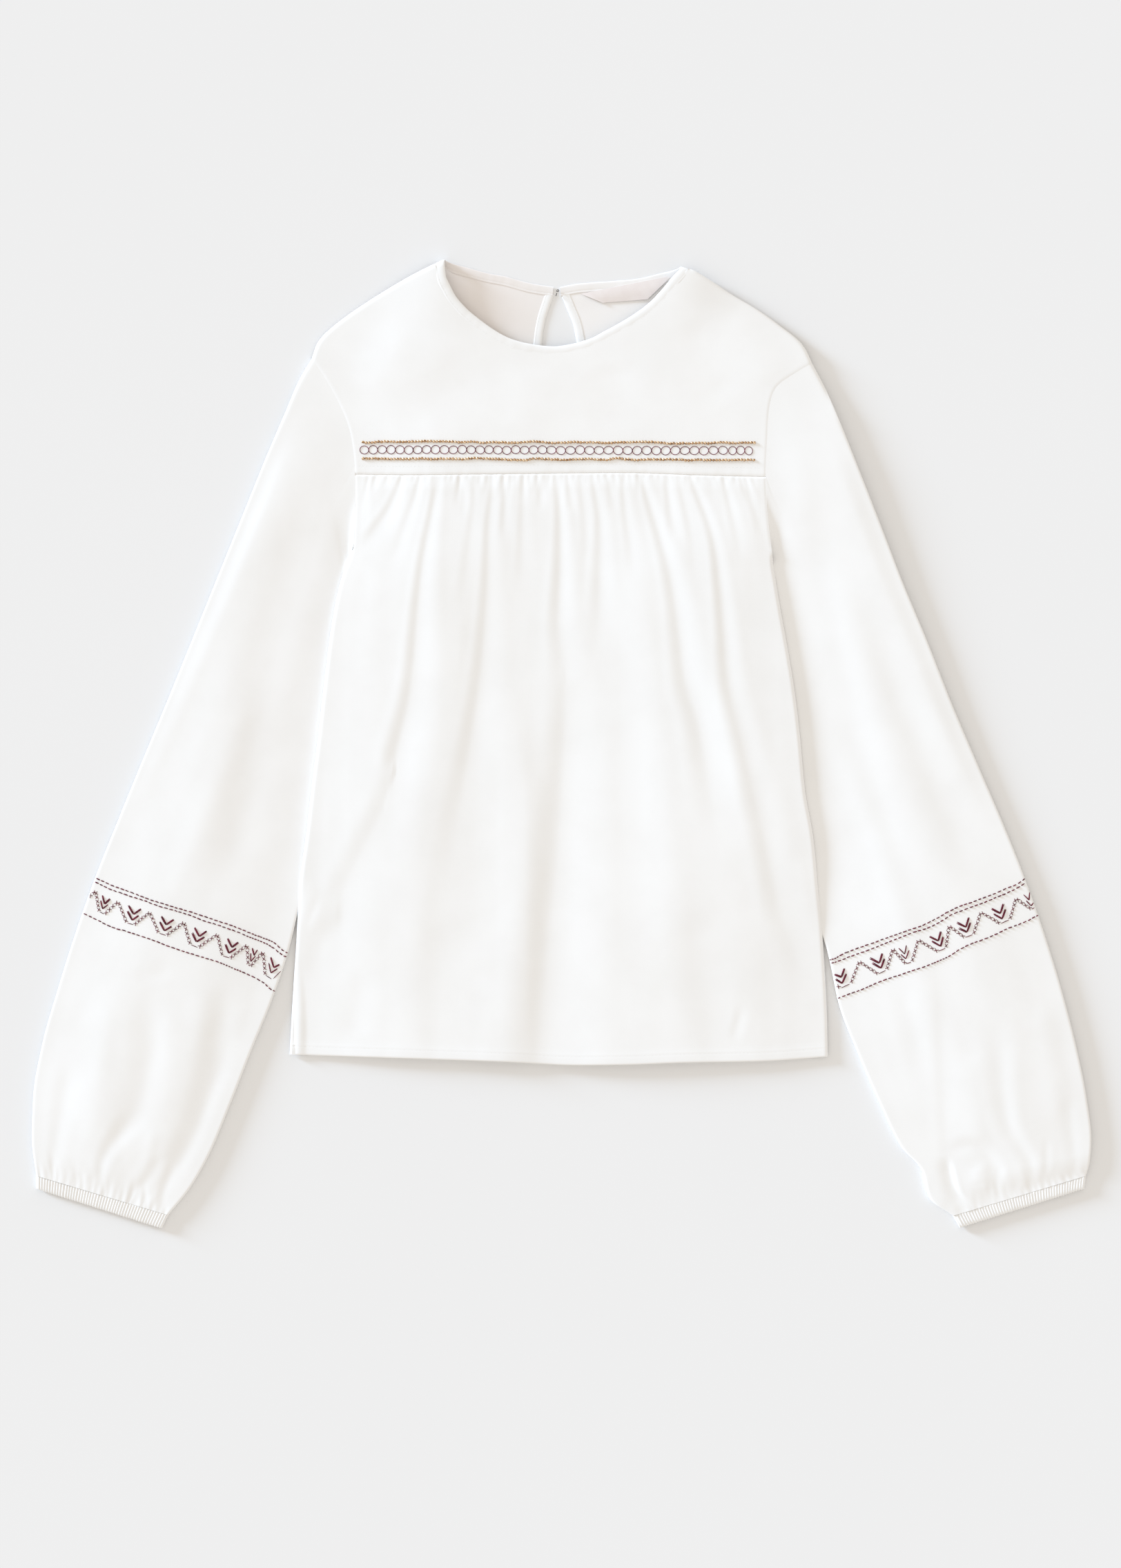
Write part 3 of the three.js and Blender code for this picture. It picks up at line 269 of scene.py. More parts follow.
def back_low(x, y):
    l, r = x - left_of(y), right_of(y) - x
    a = over_sleeve(y, -1) * (1 - smooth((l - OVER_WIDTH + 3) / (OVER_RUN + 4)))
    b = over_sleeve(y, 1) * (1 - smooth((r - OVER_WIDTH + 3) / (OVER_RUN + 4)))
    side = EDGE_LIFT * (1 - smooth(np.minimum(l, r) / 20)) * smooth((146 - y) / 24)
    return np.maximum(OVER_SLEEVE * np.maximum(a, b), side)


def neck_lift(x, y, reach=34.0):
    """How far the cloth beside the neck points stands up, from 0 to 1."""
    return sum(np.exp(-((np.asarray(x) - a) ** 2 + (np.asarray(y) - b) ** 2) / reach ** 2) for a, b in NECK_POINTS)


shoulder_edge_a = np.vstack([shoulder_a[::4], [[-97.0, 361.2], [-95.0, 361.9]]])
shoulder_edge_b = np.vstack([shoulder_b[::4], [[100.2, 356.6], [96.4, 358.0]]])


def shoulder_distance(x, y):
    return np.minimum(nearest(shoulder_edge_a, x, y)[0], nearest(shoulder_edge_b, x, y)[0])


def shoulder_lift(x, y):
    """The folded edge along the shoulders stands a little off the surface below."""
    return (EDGE_LIFT + 2.2 * smooth((np.asarray(x) - 60) / 80)) * (1 - smooth(shoulder_distance(x, y) / 22))


def front_air(x, y):
    wide = 70 + 50 * smooth((165 - y) / 60)
    ml, mr = smooth((x - left_of(y)) / wide), smooth((right_of(y) - x) / wide)
    mr = mr + (1 - mr) * smooth((y - 110) / 70)
    ms = smooth(np.where(y > 200, shoulder_distance(x, y), 99) / 70)
    ms = ms + (1 - ms) * smooth(x / 60)
    g = AIR * (0.25 + 0.75 * ml * mr * ms)
    h = (y + 239) / 110
    hem = 1.1 - 0.6 * smooth((x + 190) / 330)
    near = [np.exp(-((x - a) ** 2 + (y - b) ** 2) / r ** 2) for (a, b), r in zip(NECK_POINTS, (42.0, 32.0))]
    return g - hem * (1 - smooth(h)) * g / AIR + FRONT_LIFT[0] * near[0] + FRONT_LIFT[1] * near[1]


def front_over(x, y):
    """The front layer's rise where the body lies over the sleeves: wider and softer than the back's."""
    l, r = x - left_of(y), right_of(y) - x
    run = smooth((190 - y) / 80) * smooth((y + 228) / 190)
    a, b = 1 - smooth((l - 24) / 120), 1 - smooth((r - 24) / 120)
    return OVER_SLEEVE * run * np.maximum(a, b)


def front_nominal(x, y):
    """Upper face of the front layer before its folds."""
    l, r = x - left_of(y), right_of(y) - x
    side = 1 - smooth((175 - y) / 60) * (1 - smooth(l / 90) * (0.5 + 0.5 * smooth(r / 90)))
    return front_over(x, y) + 2.0 + 1.6 * side + front_air(x, y)


# Folds of the front panel: path from the seam down, depth, half width left and right of it (seen
# going down: left is +X), and how the depth runs along it.
F = dict
FOLDS = [
    # gathered folds of the right-hand half of the wearer
    F(path=[(-120.8, 203.5), (-124.4, 191.9), (-133.8, 173.2), (-155.1, 146.1)], depth=2.4, left=(2.4, 9), right=(1.8, 4), shape=(1, 1, .8, 0)),
    F(path=[(-94.2, 203.5), (-97.9, 177.8), (-104.7, 143.0), (-109.3, 106.1), (-115.6, 40.6), (-127.5, -9.9)], depth=3.0, left=(2.4, 15), right=(1.9, 6), stops=(0, .2, .6, 1), shape=(1, 1, .9, .5)),
    F(path=[(-115.6, 40.6), (-127.5, -9.9), (-130.1, -31.2), (-164.5, -103.0), (-182.1, -146.6), (-193.6, -189.8)], depth=1.3, left=(12, 20), right=(6, 9), stops=(0, .25, .75, 1), shape=(.3, .9, .9, 0)),
    F(path=[(-76.6, 203.5), (-75.0, 185.6), (-76, 168)], depth=2.2, left=(2, 4), right=(1.5, 3), shape=(1, .9, .5, 0)),
    F(path=[(-53.2, 203.5), (-53.2, 188.8), (-55.8, 164.3), (-57.3, 121.7), (-60.5, 75.9), (-65.1, 37.4), (-72.9, -9.9), (-89.6, -103.0)], depth=2.3, left=(2.4, 18), right=(1.8, 8), stops=(0, .12, .6, 1), shape=(.8, 1, .8, 0)),
    F(path=[(-43.8, 203.5), (-43.3, 188.8), (-44.3, 167.4), (-45, 150)], depth=2.2, left=(2, 5), right=(1.5, 3), shape=(1, 1, .6, 0)),
    F(path=[(-106, 203.5), (-111, 186), (-120, 162), (-130, 130)], depth=1.5, left=(2, 6), right=(1.5, 4), shape=(1, .9, .5, 0)),
    F(path=[(-66, 203.5), (-67, 180), (-72, 140), (-78, 90)], depth=1.3, left=(2, 8), right=(1.5, 5), shape=(.8, 1, .5, 0)),
    F(path=[(-30, 203.5), (-30, 184), (-31, 150), (-33, 108)], depth=1.5, left=(2, 7), right=(1.5, 4), shape=(.9, 1, .5, 0)),
    F(path=[(-18, 203.5), (-17, 190), (-17, 172)], depth=2.0, left=(1.8, 4), right=(1.4, 3), shape=(1, 1, .5, 0)),
    # centre
    F(path=[(-4.8, 203.8), (-2.7, 174.7), (-2.7, 136.8), (-4.3, 91.0), (-2, 60)], depth=2.9, left=(2.4, 9), right=(1.9, 6), stops=(0, .2, .6, 1), shape=(1, 1, .9, .35)),
    F(path=[(-3, 95), (-0.1, 41.1), (-6.9, -62.9), (-16.2, -156.5), (-23.5, -236)], depth=2.2, left=(12, 36), right=(6, 17), stops=(0, .25, .8, 1), shape=(0, .8, 1, .9), flank=0.12),
    F(path=[(4.5, 203.8), (5.6, 182.5), (7, 172)], depth=1.9, left=(1.8, 3), right=(1.4, 3), shape=(1, 1, .6, 0)),
    F(path=[(13, 203.8), (15, 186), (17, 160), (17, 120)], depth=1.4, left=(2, 7), right=(1.5, 4), shape=(.9, 1, .5, 0)),
    F(path=[(21.7, 203.8), (24.8, 188.8), (27.4, 167.4), (26.9, 121.7), (25.4, 60.3)], depth=2.3, left=(2.2, 10), right=(1.7, 6), stops=(0, .2, .6, 1), shape=(1, 1, .7, 0)),
    F(path=[(34, 203.8), (36, 190), (39, 172)], depth=1.8, left=(1.8, 4), right=(1.4, 3), shape=(1, 1, .5, 0)),
    F(path=[(45.1, 203.8), (46.7, 177.8), (49, 160), (54, 120)], depth=2.0, left=(2, 6), right=(1.5, 4), shape=(1, 1, .5, 0)),
    # gathered folds of the left-hand half of the wearer
    F(path=[(58.1, 203.8), (65.9, 177.8), (72.7, 155.0), (80.5, 124.3), (86.2, 83.2), (90.9, 45.2), (100.2, 14.6), (117.9, -97.2)], depth=3.0, left=(2.4, 17), right=(1.9, 10), stops=(0, .15, .6, 1), shape=(1, 1, .9, 0)),
    F(path=[(77.4, 203.5), (79.4, 187.2), (82.0, 164.3), (86, 148)], depth=2.3, left=(2, 5), right=(1.5, 4), shape=(1, 1, .6, 0)),
    F(path=[(95.0, 203.5), (103.4, 182.5), (109.1, 167.4), (113.8, 149.2), (116.9, 121.7), (120.0, 83.2), (123.1, 45.2), (133.5, -0.5), (147.0, -59.8), (164.2, -132.1), (187.1, -198.1)], depth=2.9, left=(2.4, 14), right=(1.9, 9), stops=(0, .12, .45, .8, 1), shape=(1, 1, .75, .6, 0)),
    F(path=[(86, 203.5), (90, 188), (96, 160), (100, 120)], depth=1.5, left=(2, 7), right=(1.5, 4), shape=(1, 1, .5, 0)),
    F(path=[(120.5, 203.0), (124.2, 185.6), (130, 160), (134, 130)], depth=2.0, left=(2, 6), right=(1.5, 4), shape=(1, 1, .5, 0)),
    F(path=[(133.0, 203.0), (139.8, 187.2), (147.6, 167.4), (152.2, 151.8)], depth=2.2, left=(2, 6), right=(1.6, 4), shape=(1, 1, .8, 0)),
    # broad swells between the folds
    F(path=[(-60, 60), (-45, -20), (-43.3, -88.9), (-46.4, -218.4), (-47, -240)], depth=-1.5, left=(12, 14), right=(18, 28), stops=(0, .3, .8, 1), shape=(0, 1, 1, .8), flank=0),
    F(path=[(-82, 150), (-88, 90), (-96, 20), (-114, -70), (-134, -190)], depth=-0.9, left=(9, 14), right=(14, 26), flank=0),
    F(path=[(42, 170), (50, 110), (58, 30), (66, -70), (72, -200)], depth=-1.0, left=(10, 20), right=(14, 24), flank=0),
    F(path=[(98, 165), (106, 110), (110, 50), (122, -10), (140, -95)], depth=-1.1, left=(6, 11), right=(10, 18), flank=0),
    # small creases by the hem
    F(path=[(134.0, -196), (131, -210), (126.8, -222.0)], depth=1.6, left=4, right=3, shape=(0, 1, .9, 0)),
    F(path=[(-150, -168), (-158, -196), (-161, -226)], depth=0.7, left=9, right=8, shape=(0, 1, .9, 0)),
    F(path=[(92, -120), (104, -180), (109, -232)], depth=0.8, left=18, right=14, shape=(0, 1, 1, .6)),
    F(path=[(-88, -120), (-96, -180), (-100, -232)], depth=0.6, left=18, right=14, shape=(0, 1, 1, .6)),
]
rng = np.random.default_rng(41)
gather_x, gx = [], -151.0
while gx < 150:
    gather_x.append(gx)
    gx += rng.uniform(2.6, 6.6)
PUCKERS = [(g, rng.uniform(0.14, 0.44), rng.uniform(0.9, 1.7), rng.choice([6, 9, 13, 18, 26, 38], p=[.2, .22, .22, .18, .12, .06]),
            rng.normal(0, 0.05)) for g in gather_x]


def gathers(x, y):
    """Short folds that start at the yoke seam and die out below it, fanning out to the sides."""
    out = np.zeros(np.shape(x))
    t = seam_y(x) - y
    for g, depth, w, run, lean in PUCKERS:
        cx = g + t * (0.0016 * g + lean)
        width = w * (1 + t / 14)
        fade = np.clip(1 - t / run, 0, 1)
        fade = fade * fade * (3 - 2 * fade)
        out -= 0.85 * depth * fade * np.exp(-((x - cx) / width) ** 2)
    return out * (t > -3)


def front_relief(x, y):
    z = np.zeros(np.shape(x))
    for f in FOLDS:
        z += crease(x, y, **f)
    z += gathers(x, y)
    t = seam_y(x) - y
    z += 0.35 * smooth(t / 12) * (1 - smooth((t - 20) / 110))            # fullness below the seam
    z += (0.09 * noise(x, y, 22, 420, 3) + 0.035 * noise(x, y, 11, 260, 4)) * smooth(t / 12)
    z += 0.012 * noise(x + 0.3 * y, y, 9, 13, 6)
    l, r = x - left_of(y), right_of(y) - x
    z *= smooth((l + 1) / 14) * smooth((r + 1) / 14)
    return z


def front_top(x, y):
    """Upper face of the front panel."""
    nominal = front_nominal(x, y)
    least = back_low(x, y) + 1.75
    z = nominal + front_relief(x, y)
    room = nominal - least
    # troughs bottom out softly on the layer below
    d = np.maximum(nominal - z, 0)
    z = np.where(z < nominal, nominal - room * np.tanh(d / np.maximum(room, 0.05)), z)
    # at the top it tucks in under the yoke's edge
    t = seam_y(x) - y
    under = yoke_top(x, np.maximum(y, seam_y(x))) - THICK - 0.04
    w = smooth((t + 0.25) / 1.7)
    near = t < 2
    z = np.where(near, under * (1 - w) + z * w, z)
    h = y - hem_y(x)
    z = z + 0.12 * smooth((9.8 - h) / 3.0) - 0.07 * np.exp(-((h - 6.6) / 0.6) ** 2)
    return z


YOKE_FOLDS = [
    F(path=[(-92, 203.8), (-94, 213), (-99, 226)], depth=0.5, left=3, right=3, shape=(1, 1, .5, 0)),
    F(path=[(-4.8, 204), (-6, 214), (-9, 230)], depth=0.5, left=3, right=3, shape=(1, 1, .5, 0)),
    F(path=[(58, 204), (60, 214), (66, 228)], depth=0.5, left=3, right=3, shape=(1, 1, .5, 0)),
    F(path=[(-60, 290), (-96, 268), (-130, 238)], depth=0.55, left=16, right=20),
    F(path=[(30, 288), (34, 262), (30, 236)], depth=0.5, left=14, right=18),
    F(path=[(88, 318), (104, 282), (122, 252)], depth=0.7, left=12, right=18),
    F(path=[(120, 322), (140, 292), (150, 262)], depth=-0.6, left=12, right=12),
    F(path=[(-118, 322), (-140, 292), (-152, 262)], depth=-0.5, left=12, right=12),
    F(path=[(-36, 288), (-40, 262), (-44, 232)], depth=-0.4, left=18, right=18),
]


def yoke_top(x, y):
    z = front_nominal(x, y)
    for f in YOKE_FOLDS:
        z = z + crease(x, y, **f)
    t = y - seam_y(x)
    z = z + 0.05 * noise(x, y, 4.2, 9, 11) * np.exp(-t / 7) + 0.06 * noise(x, y, 40, 60, 12) + 0.01 * noise(x, y, 9, 12, 13)
    z = z - 0.22 * np.exp(-(t / 0.8) ** 2) - 0.04 * np.exp(-((t - 6.0) / 0.8) ** 2)
    d = shoulder_distance(x, y)
    base = 0.15 + EDGE_LIFT + 2.2 * smooth((x - 60) / 80) + 0.4 * neck_lift(x, y, 26.0)
    return base + (z - base) * roll(1 - d / 3.0)


def arm_dip(z, x, y):
    d = np.minimum(nearest(arm_a[::3], x, y)[0], nearest(arm_b[::3], x, y)[0])
    return z - 0.15 * np.exp(-(d / 0.9) ** 2) - 0.02 * np.exp(-((d - 4.6) / 1.0) ** 2)


# ------------------------------------------------------------------ materials
def material(name):
    m = bpy.data.materials.new(name)
    m.use_nodes = True
    nt = m.node_tree
    return m, nt, nt.nodes["Principled BSDF"]


def node(nt, kind, **inputs):
    n = nt.nodes.new(kind)
    for k, v in inputs.items():
        if k in n.inputs:
            n.inputs[k].default_value = v
        else:
            setattr(n, k, v)
    return n


def ramp(nt, src, stops):
    r = nt.nodes.new("ShaderNodeValToRGB")
    e = r.color_ramp.elements
    while len(e) < len(stops):
        e.new(0.5)
    for s, (pos, c) in zip(e, stops):
        s.position = pos
        s.color = (*c, 1)
    nt.links.new(src, r.inputs[0])
    return r.outputs["Color"]


def jersey(name, light, dark, turn=0.0, rib=0.00085, bump=0.06, shade_span=None, axis=1):
    """Cotton jersey: fine vertical wales with loops across them, a little slub and uneven colour. Optionally
    a painted warm shade is multiplied into the colour between two places along an axis, strongest towards -X."""
    m, nt, b = material(name)
    L = nt.links.new
    tc = node(nt, "ShaderNodeTexCoord")
    mp = node(nt, "ShaderNodeMapping")
    mp.inputs["Rotation"].default_value = (0, 0, turn)
    L(tc.outputs["Object"], mp.inputs["Vector"])
    v = mp.outputs["Vector"]
    wales = node(nt, "ShaderNodeTexWave", Scale=0.31416 / rib, Distortion=1.4, Detail=2.0)
    wales.bands_direction = "X"
    wales.inputs["Detail Scale"].default_value = 2.0
    loops = node(nt, "ShaderNodeTexWave", Scale=0.31416 / (rib * 0.8), Distortion=2.0, Detail=2.0)
    loops.bands_direction = "Y"
    fuzz = node(nt, "ShaderNodeTexNoise", Scale=900.0, Detail=3.0, Roughness=0.6)
    slub = node(nt, "ShaderNodeTexNoise", Scale=26.0, Detail=4.0, Roughness=0.55)
    tone = node(nt, "ShaderNodeTexNoise", Scale=5.0, Detail=2.0, Roughness=0.5)
    for t in (wales, loops, fuzz, slub, tone):
        L(v, t.inputs["Vector"])
    add = node(nt, "ShaderNodeMath", operation="MULTIPLY")
    L(wales.outputs["Fac"], add.inputs[0])
    L(loops.outputs["Fac"], add.inputs[1])
    mix = node(nt, "ShaderNodeMath", operation="MULTIPLY_ADD")
    L(fuzz.outputs["Fac"], mix.inputs[0])
    mix.inputs[1].default_value = 0.9
    L(add.outputs[0], mix.inputs[2])
    bp = node(nt, "ShaderNodeBump", Strength=bump, Distance=0.00018)
    L(mix.outputs[0], bp.inputs["Height"])
    L(bp.outputs["Normal"], b.inputs["Normal"])
    c = node(nt, "ShaderNodeMix", data_type="RGBA", blend_type="MULTIPLY")
    c.inputs["Factor"].default_value = 1.0
    two = ramp(nt, slub.outputs["Fac"], [(0.35, dark), (0.62, light)])
    three = ramp(nt, tone.outputs["Fac"], [(0.3, (0.985, 0.985, 0.983)), (0.7, (1, 1, 1))])
    L(two, c.inputs[6])
    L(three, c.inputs[7])
    colour = c.outputs[2]
    # painted shade: a warm, darker tint multiplied in between two places along an axis, strongest on the left, where
    # the inside of the neck lies in shade
    if shade_span:
        at = node(nt, "ShaderNodeSeparateXYZ")
        L(tc.outputs["Object"], at.inputs[0])
        amount = node(nt, "ShaderNodeMapRange", interpolation_type="SMOOTHSTEP")
        amount.inputs["From Min"].default_value, amount.inputs["From Max"].default_value = shade_span
        L(at.outputs[axis], amount.inputs["Value"])
        across = node(nt, "ShaderNodeMapRange", interpolation_type="SMOOTHSTEP")
        across.inputs["From Min"].default_value, across.inputs["From Max"].default_value = -0.09, 0.06
        across.inputs["To Min"].default_value, across.inputs["To Max"].default_value = 1.0, 0.2
        L(at.outputs[0], across.inputs["Value"])
        both = node(nt, "ShaderNodeMath", operation="MULTIPLY")
        L(amount.outputs["Result"], both.inputs[0])
        L(across.outputs["Result"], both.inputs[1])
        shade_tint = node(nt, "ShaderNodeMix", data_type="RGBA", blend_type="MULTIPLY")
        L(both.outputs[0], shade_tint.inputs["Factor"])
        L(colour, shade_tint.inputs[6])
        # colour of the painted shade
        shade_tint.inputs[7].default_value = (0.93, 0.875, 0.845, 1)
        colour = shade_tint.outputs[2]
    L(colour, b.inputs["Base Color"])
    rr = node(nt, "ShaderNodeMapRange")
    rr.inputs["To Min"].default_value, rr.inputs["To Max"].default_value = 0.86, 0.97
    L(fuzz.outputs["Fac"], rr.inputs["Value"])
    L(rr.outputs["Result"], b.inputs["Roughness"])
    b.inputs["Sheen Weight"].default_value = 0.12
    b.inputs["Sheen Roughness"].default_value = 0.5
    b.inputs["Specular IOR Level"].default_value = 0.18
    return m


def thread(name, dark, light, rough=0.55, scale=1500.0, sheen=0.15, spec=0.4):
    """Twisted sewing thread."""
    m, nt, b = material(name)
    L = nt.links.new
    tc = node(nt, "ShaderNodeTexCoord")
    w = node(nt, "ShaderNodeTexWave", Scale=scale, Distortion=2.5, Detail=1.0)
    w.bands_direction = "DIAGONAL"
    n = node(nt, "ShaderNodeTexNoise", Scale=420.0, Detail=3.0)
    L(tc.outputs["Object"], w.inputs["Vector"])
    L(tc.outputs["Object"], n.inputs["Vector"])
    L(ramp(nt, n.outputs["Fac"], [(0.34, dark), (0.66, light)]), b.inputs["Base Color"])
    bp = node(nt, "ShaderNodeBump", Strength=0.35, Distance=0.00012)
    L(w.outputs["Fac"], bp.inputs["Height"])
    L(bp.outputs["Normal"], b.inputs["Normal"])
    rr = node(nt, "ShaderNodeMapRange")
    rr.inputs["To Min"].default_value, rr.inputs["To Max"].default_value = rough - 0.1, rough + 0.15
    L(n.outputs["Fac"], rr.inputs["Value"])
    L(rr.outputs["Result"], b.inputs["Roughness"])
    b.inputs["Sheen Weight"].default_value = sheen
    b.inputs["Specular IOR Level"].default_value = spec
    return m


def bead_material():
    """Antique gold, mottled at random from dark brown to pale cream: the brown is painted shade and the cream painted
    highlight.
    """
    m, nt, b = material("bead_gold")
    L = nt.links.new
    tc = node(nt, "ShaderNodeTexCoord")
    n = node(nt, "ShaderNodeTexNoise", Scale=640.0, Detail=2.0, Roughness=0.6)
    L(tc.outputs["Object"], n.inputs["Vector"])
    # painted shade (dark brown) and painted highlight (pale cream) around the gold, scattered by noise
    gold = ramp(nt, n.outputs["Fac"], [(0.30, (0.22, 0.105, 0.05)), (0.48, (0.56, 0.35, 0.185)), (0.66, (0.86, 0.68, 0.47))])
    L(gold, b.inputs["Base Color"])
    rr = node(nt, "ShaderNodeMapRange")
    rr.inputs["To Min"].default_value, rr.inputs["To Max"].default_value = 0.22, 0.42
    L(n.outputs["Fac"], rr.inputs["Value"])
    L(rr.outputs["Result"], b.inputs["Roughness"])
    b.inputs["Metallic"].default_value = 0.6
    b.inputs["Specular IOR Level"].default_value = 0.6
    bp = node(nt, "ShaderNodeBump", Strength=0.25, Distance=0.0002)
    L(n.outputs["Fac"], bp.inputs["Height"])
    L(bp.outputs["Normal"], b.inputs["Normal"])
    return m


def tape_material():
    """Woven satin tape."""
    m, nt, b = material("label_tape")
    L = nt.links.new
    tc = node(nt, "ShaderNodeTexCoord")
    w = node(nt, "ShaderNodeTexWave", Scale=330.0, Distortion=0.8, Detail=1.0)
    w.bands_direction = "Y"
    n = node(nt, "ShaderNodeTexNoise", Scale=160.0, Detail=3.0)
    L(tc.outputs["Object"], w.inputs["Vector"])
    L(tc.outputs["Object"], n.inputs["Vector"])
    L(ramp(nt, n.outputs["Fac"], [(0.3, (0.79, 0.725, 0.70)), (0.7, (0.82, 0.765, 0.74))]), b.inputs["Base Color"])
    bp = node(nt, "ShaderNodeBump", Strength=0.06, Distance=0.0001)
    L(w.outputs["Fac"], bp.inputs["Height"])
    L(bp.outputs["Normal"], b.inputs["Normal"])
    b.inputs["Roughness"].default_value = 0.42
    b.inputs["Sheen Weight"].default_value = 0.2
    return m


def hook_material():
    m, nt, b = material("hook_metal")
    L = nt.links.new
    tc = node(nt, "ShaderNodeTexCoord")
    n = node(nt, "ShaderNodeTexNoise", Scale=900.0, Detail=3.0)
    L(tc.outputs["Object"], n.inputs["Vector"])
    L(ramp(nt, n.outputs["Fac"], [(0.3, (0.035, 0.03, 0.028)), (0.75, (0.13, 0.11, 0.10))]), b.inputs["Base Color"])
    b.inputs["Metallic"].default_value = 0.8
    b.inputs["Roughness"].default_value = 0.42
    return m


WHITE, SHADE = (0.905, 0.902, 0.895), (0.885, 0.880, 0.870)
COTTON = jersey("cotton_jersey", WHITE, SHADE)
COTTON_RIGHT = jersey("cotton_jersey_right", WHITE, SHADE, turn=math.radians(-22))
COTTON_LEFT = jersey("cotton_jersey_left", WHITE, SHADE, turn=math.radians(22))
BINDING = jersey("binding_jersey", (0.905, 0.902, 0.895), (0.885, 0.880, 0.870), rib=0.0006, bump=0.05)
# the back panel takes a painted warm shade near the back neck, from Y 272 to 322 mm
INSIDE = jersey("cotton_jersey_inside_painted_shade", WHITE, SHADE, shade_span=(0.272, 0.322))
# the neck band takes a painted warm shade on its low, back part, below about 4 mm
BAND = jersey("neck_binding_jersey_painted_shade", (0.905, 0.902, 0.895), (0.885, 0.880, 0.870), rib=0.0006, bump=0.05, shade_span=(0.0042, 0.0022), axis=2)
BURGUNDY = thread("embroidery_thread", (0.075, 0.008, 0.016), (0.190, 0.024, 0.044), rough=0.62, sheen=0.05, spec=0.22)
PLUM = thread("ring_thread", (0.090, 0.014, 0.028), (0.27, 0.080, 0.110), rough=0.6, sheen=0.06, spec=0.22)
SEWING = thread("sewing_thread", (0.80, 0.795, 0.785), (0.90, 0.895, 0.885), rough=0.7)
BROWN = thread("bead_thread", (0.10, 0.05, 0.028), (0.24, 0.125, 0.07), rough=0.6)
GOLD, TAPE, HOOK = bead_material(), tape_material(), hook_material()


# ------------------------------------------------------------------ mesh building
def make_mesh(name, verts_mm, faces, mat, sharp=50):
    """faces: an array of quads or triangles, or a list of such arrays."""
    me = bpy.data.meshes.new(name)
    v = np.asarray(verts_mm, np.float64) / 1000.0
    groups = faces if isinstance(faces, list) else [faces]
    groups = [np.asarray(g, np.int32) for g in groups if len(g)]
    loops = np.concatenate([g.ravel() for g in groups])
    sizes = np.concatenate([np.full(len(g), g.shape[1], np.int32) for g in groups])
    me.vertices.add(len(v))
    me.vertices.foreach_set("co", v.astype(np.float32).ravel())
    me.loops.add(len(loops))
    me.loops.foreach_set("vertex_index", loops)
    me.polygons.add(len(sizes))
    me.polygons.foreach_set("loop_start", np.concatenate([[0], np.cumsum(sizes)[:-1]]).astype(np.int32))
    me.polygons.foreach_set("loop_total", sizes)
    me.polygons.foreach_set("use_smooth", np.ones(len(sizes), bool))
    me.update(calc_edges=True)
    me.validate()
    if sharp:
        me.set_sharp_from_angle(angle=math.radians(sharp))
    me.materials.append(mat)
    o = bpy.data.objects.new(name, me)
    bpy.context.scene.collection.objects.link(o)
    return o


def grid_normals(P):
    """Unit upward normals of a grid of points (rows, columns, 3)."""
    du = np.gradient(P, axis=1)
    dv = np.gradient(P, axis=0)
    n = np.cross(du, dv)
    n /= np.linalg.norm(n, axis=2)[..., None] + 1e-12
    return np.where(n[..., 2:3] < 0, -n, n)


def grid_shell(name, top, thick, mat, present=None, sharp=50, floor=None):
    """Closed shell under a grid of points; present[r, c] says which cells are there."""
    R, C = top.shape[:2]
    n = grid_normals(top)
    low = top - n * (thick if np.ndim(thick) == 0 else thick[..., None])
    if floor is not None:
        low[..., 2] = np.maximum(low[..., 2], floor)
    idx = np.arange(R * C).reshape(R, C)
    have = np.ones((R - 1, C - 1), bool) if present is None else present
    # rows run down (-Y), so this order faces up
    a, b, c, d = idx[:-1, :-1], idx[1:, :-1], idx[1:, 1:], idx[:-1, 1:]
    up = np.stack([a, b, c, d], axis=-1)[have]
    dn = np.stack([a, d, c, b], axis=-1)[have] + R * C
    pad = np.zeros((R + 1, C + 1), bool)
    pad[1:-1, 1:-1] = have
    sides = []
    for mask, p, q in ((~pad[:-2, 1:-1], d, a), (~pad[2:, 1:-1], b, c), (~pad[1:-1, :-2], a, b), (~pad[1:-1, 2:], c, d)):
        k = mask & have
        sides.append(np.stack([p[k], p[k] + R * C, q[k] + R * C, q[k]], axis=-1))
    faces = np.concatenate([up, dn] + [s[:, ::-1] for s in sides])
    verts = np.concatenate([top.reshape(-1, 3), low.reshape(-1, 3)])
    used = np.zeros(len(verts), bool)
    used[faces.ravel()] = True
    remap = np.cumsum(used) - 1
    return make_mesh(name, verts[used], remap[faces], mat, sharp)


def surface_of(obj):
    """The upper face of a mesh, as a function (x, y) -> height and normal, in millimetres."""
    me = obj.data
    v = np.empty(len(me.vertices) * 3, np.float32)
    me.vertices.foreach_get("co", v)
    v = v.reshape(-1, 3) * 1000.0
    polys = [tuple(p.vertices) for p in me.polygons]
    tree = BVHTree.FromPolygons([Vector(p) for p in v], polys)

    def f(x, y):
        hit, nrm, _, _ = tree.ray_cast(Vector((x, y, 60.0)), Vector((0, 0, -1)))
        if hit is None:
            return None, None
        return hit.z, nrm
    return f


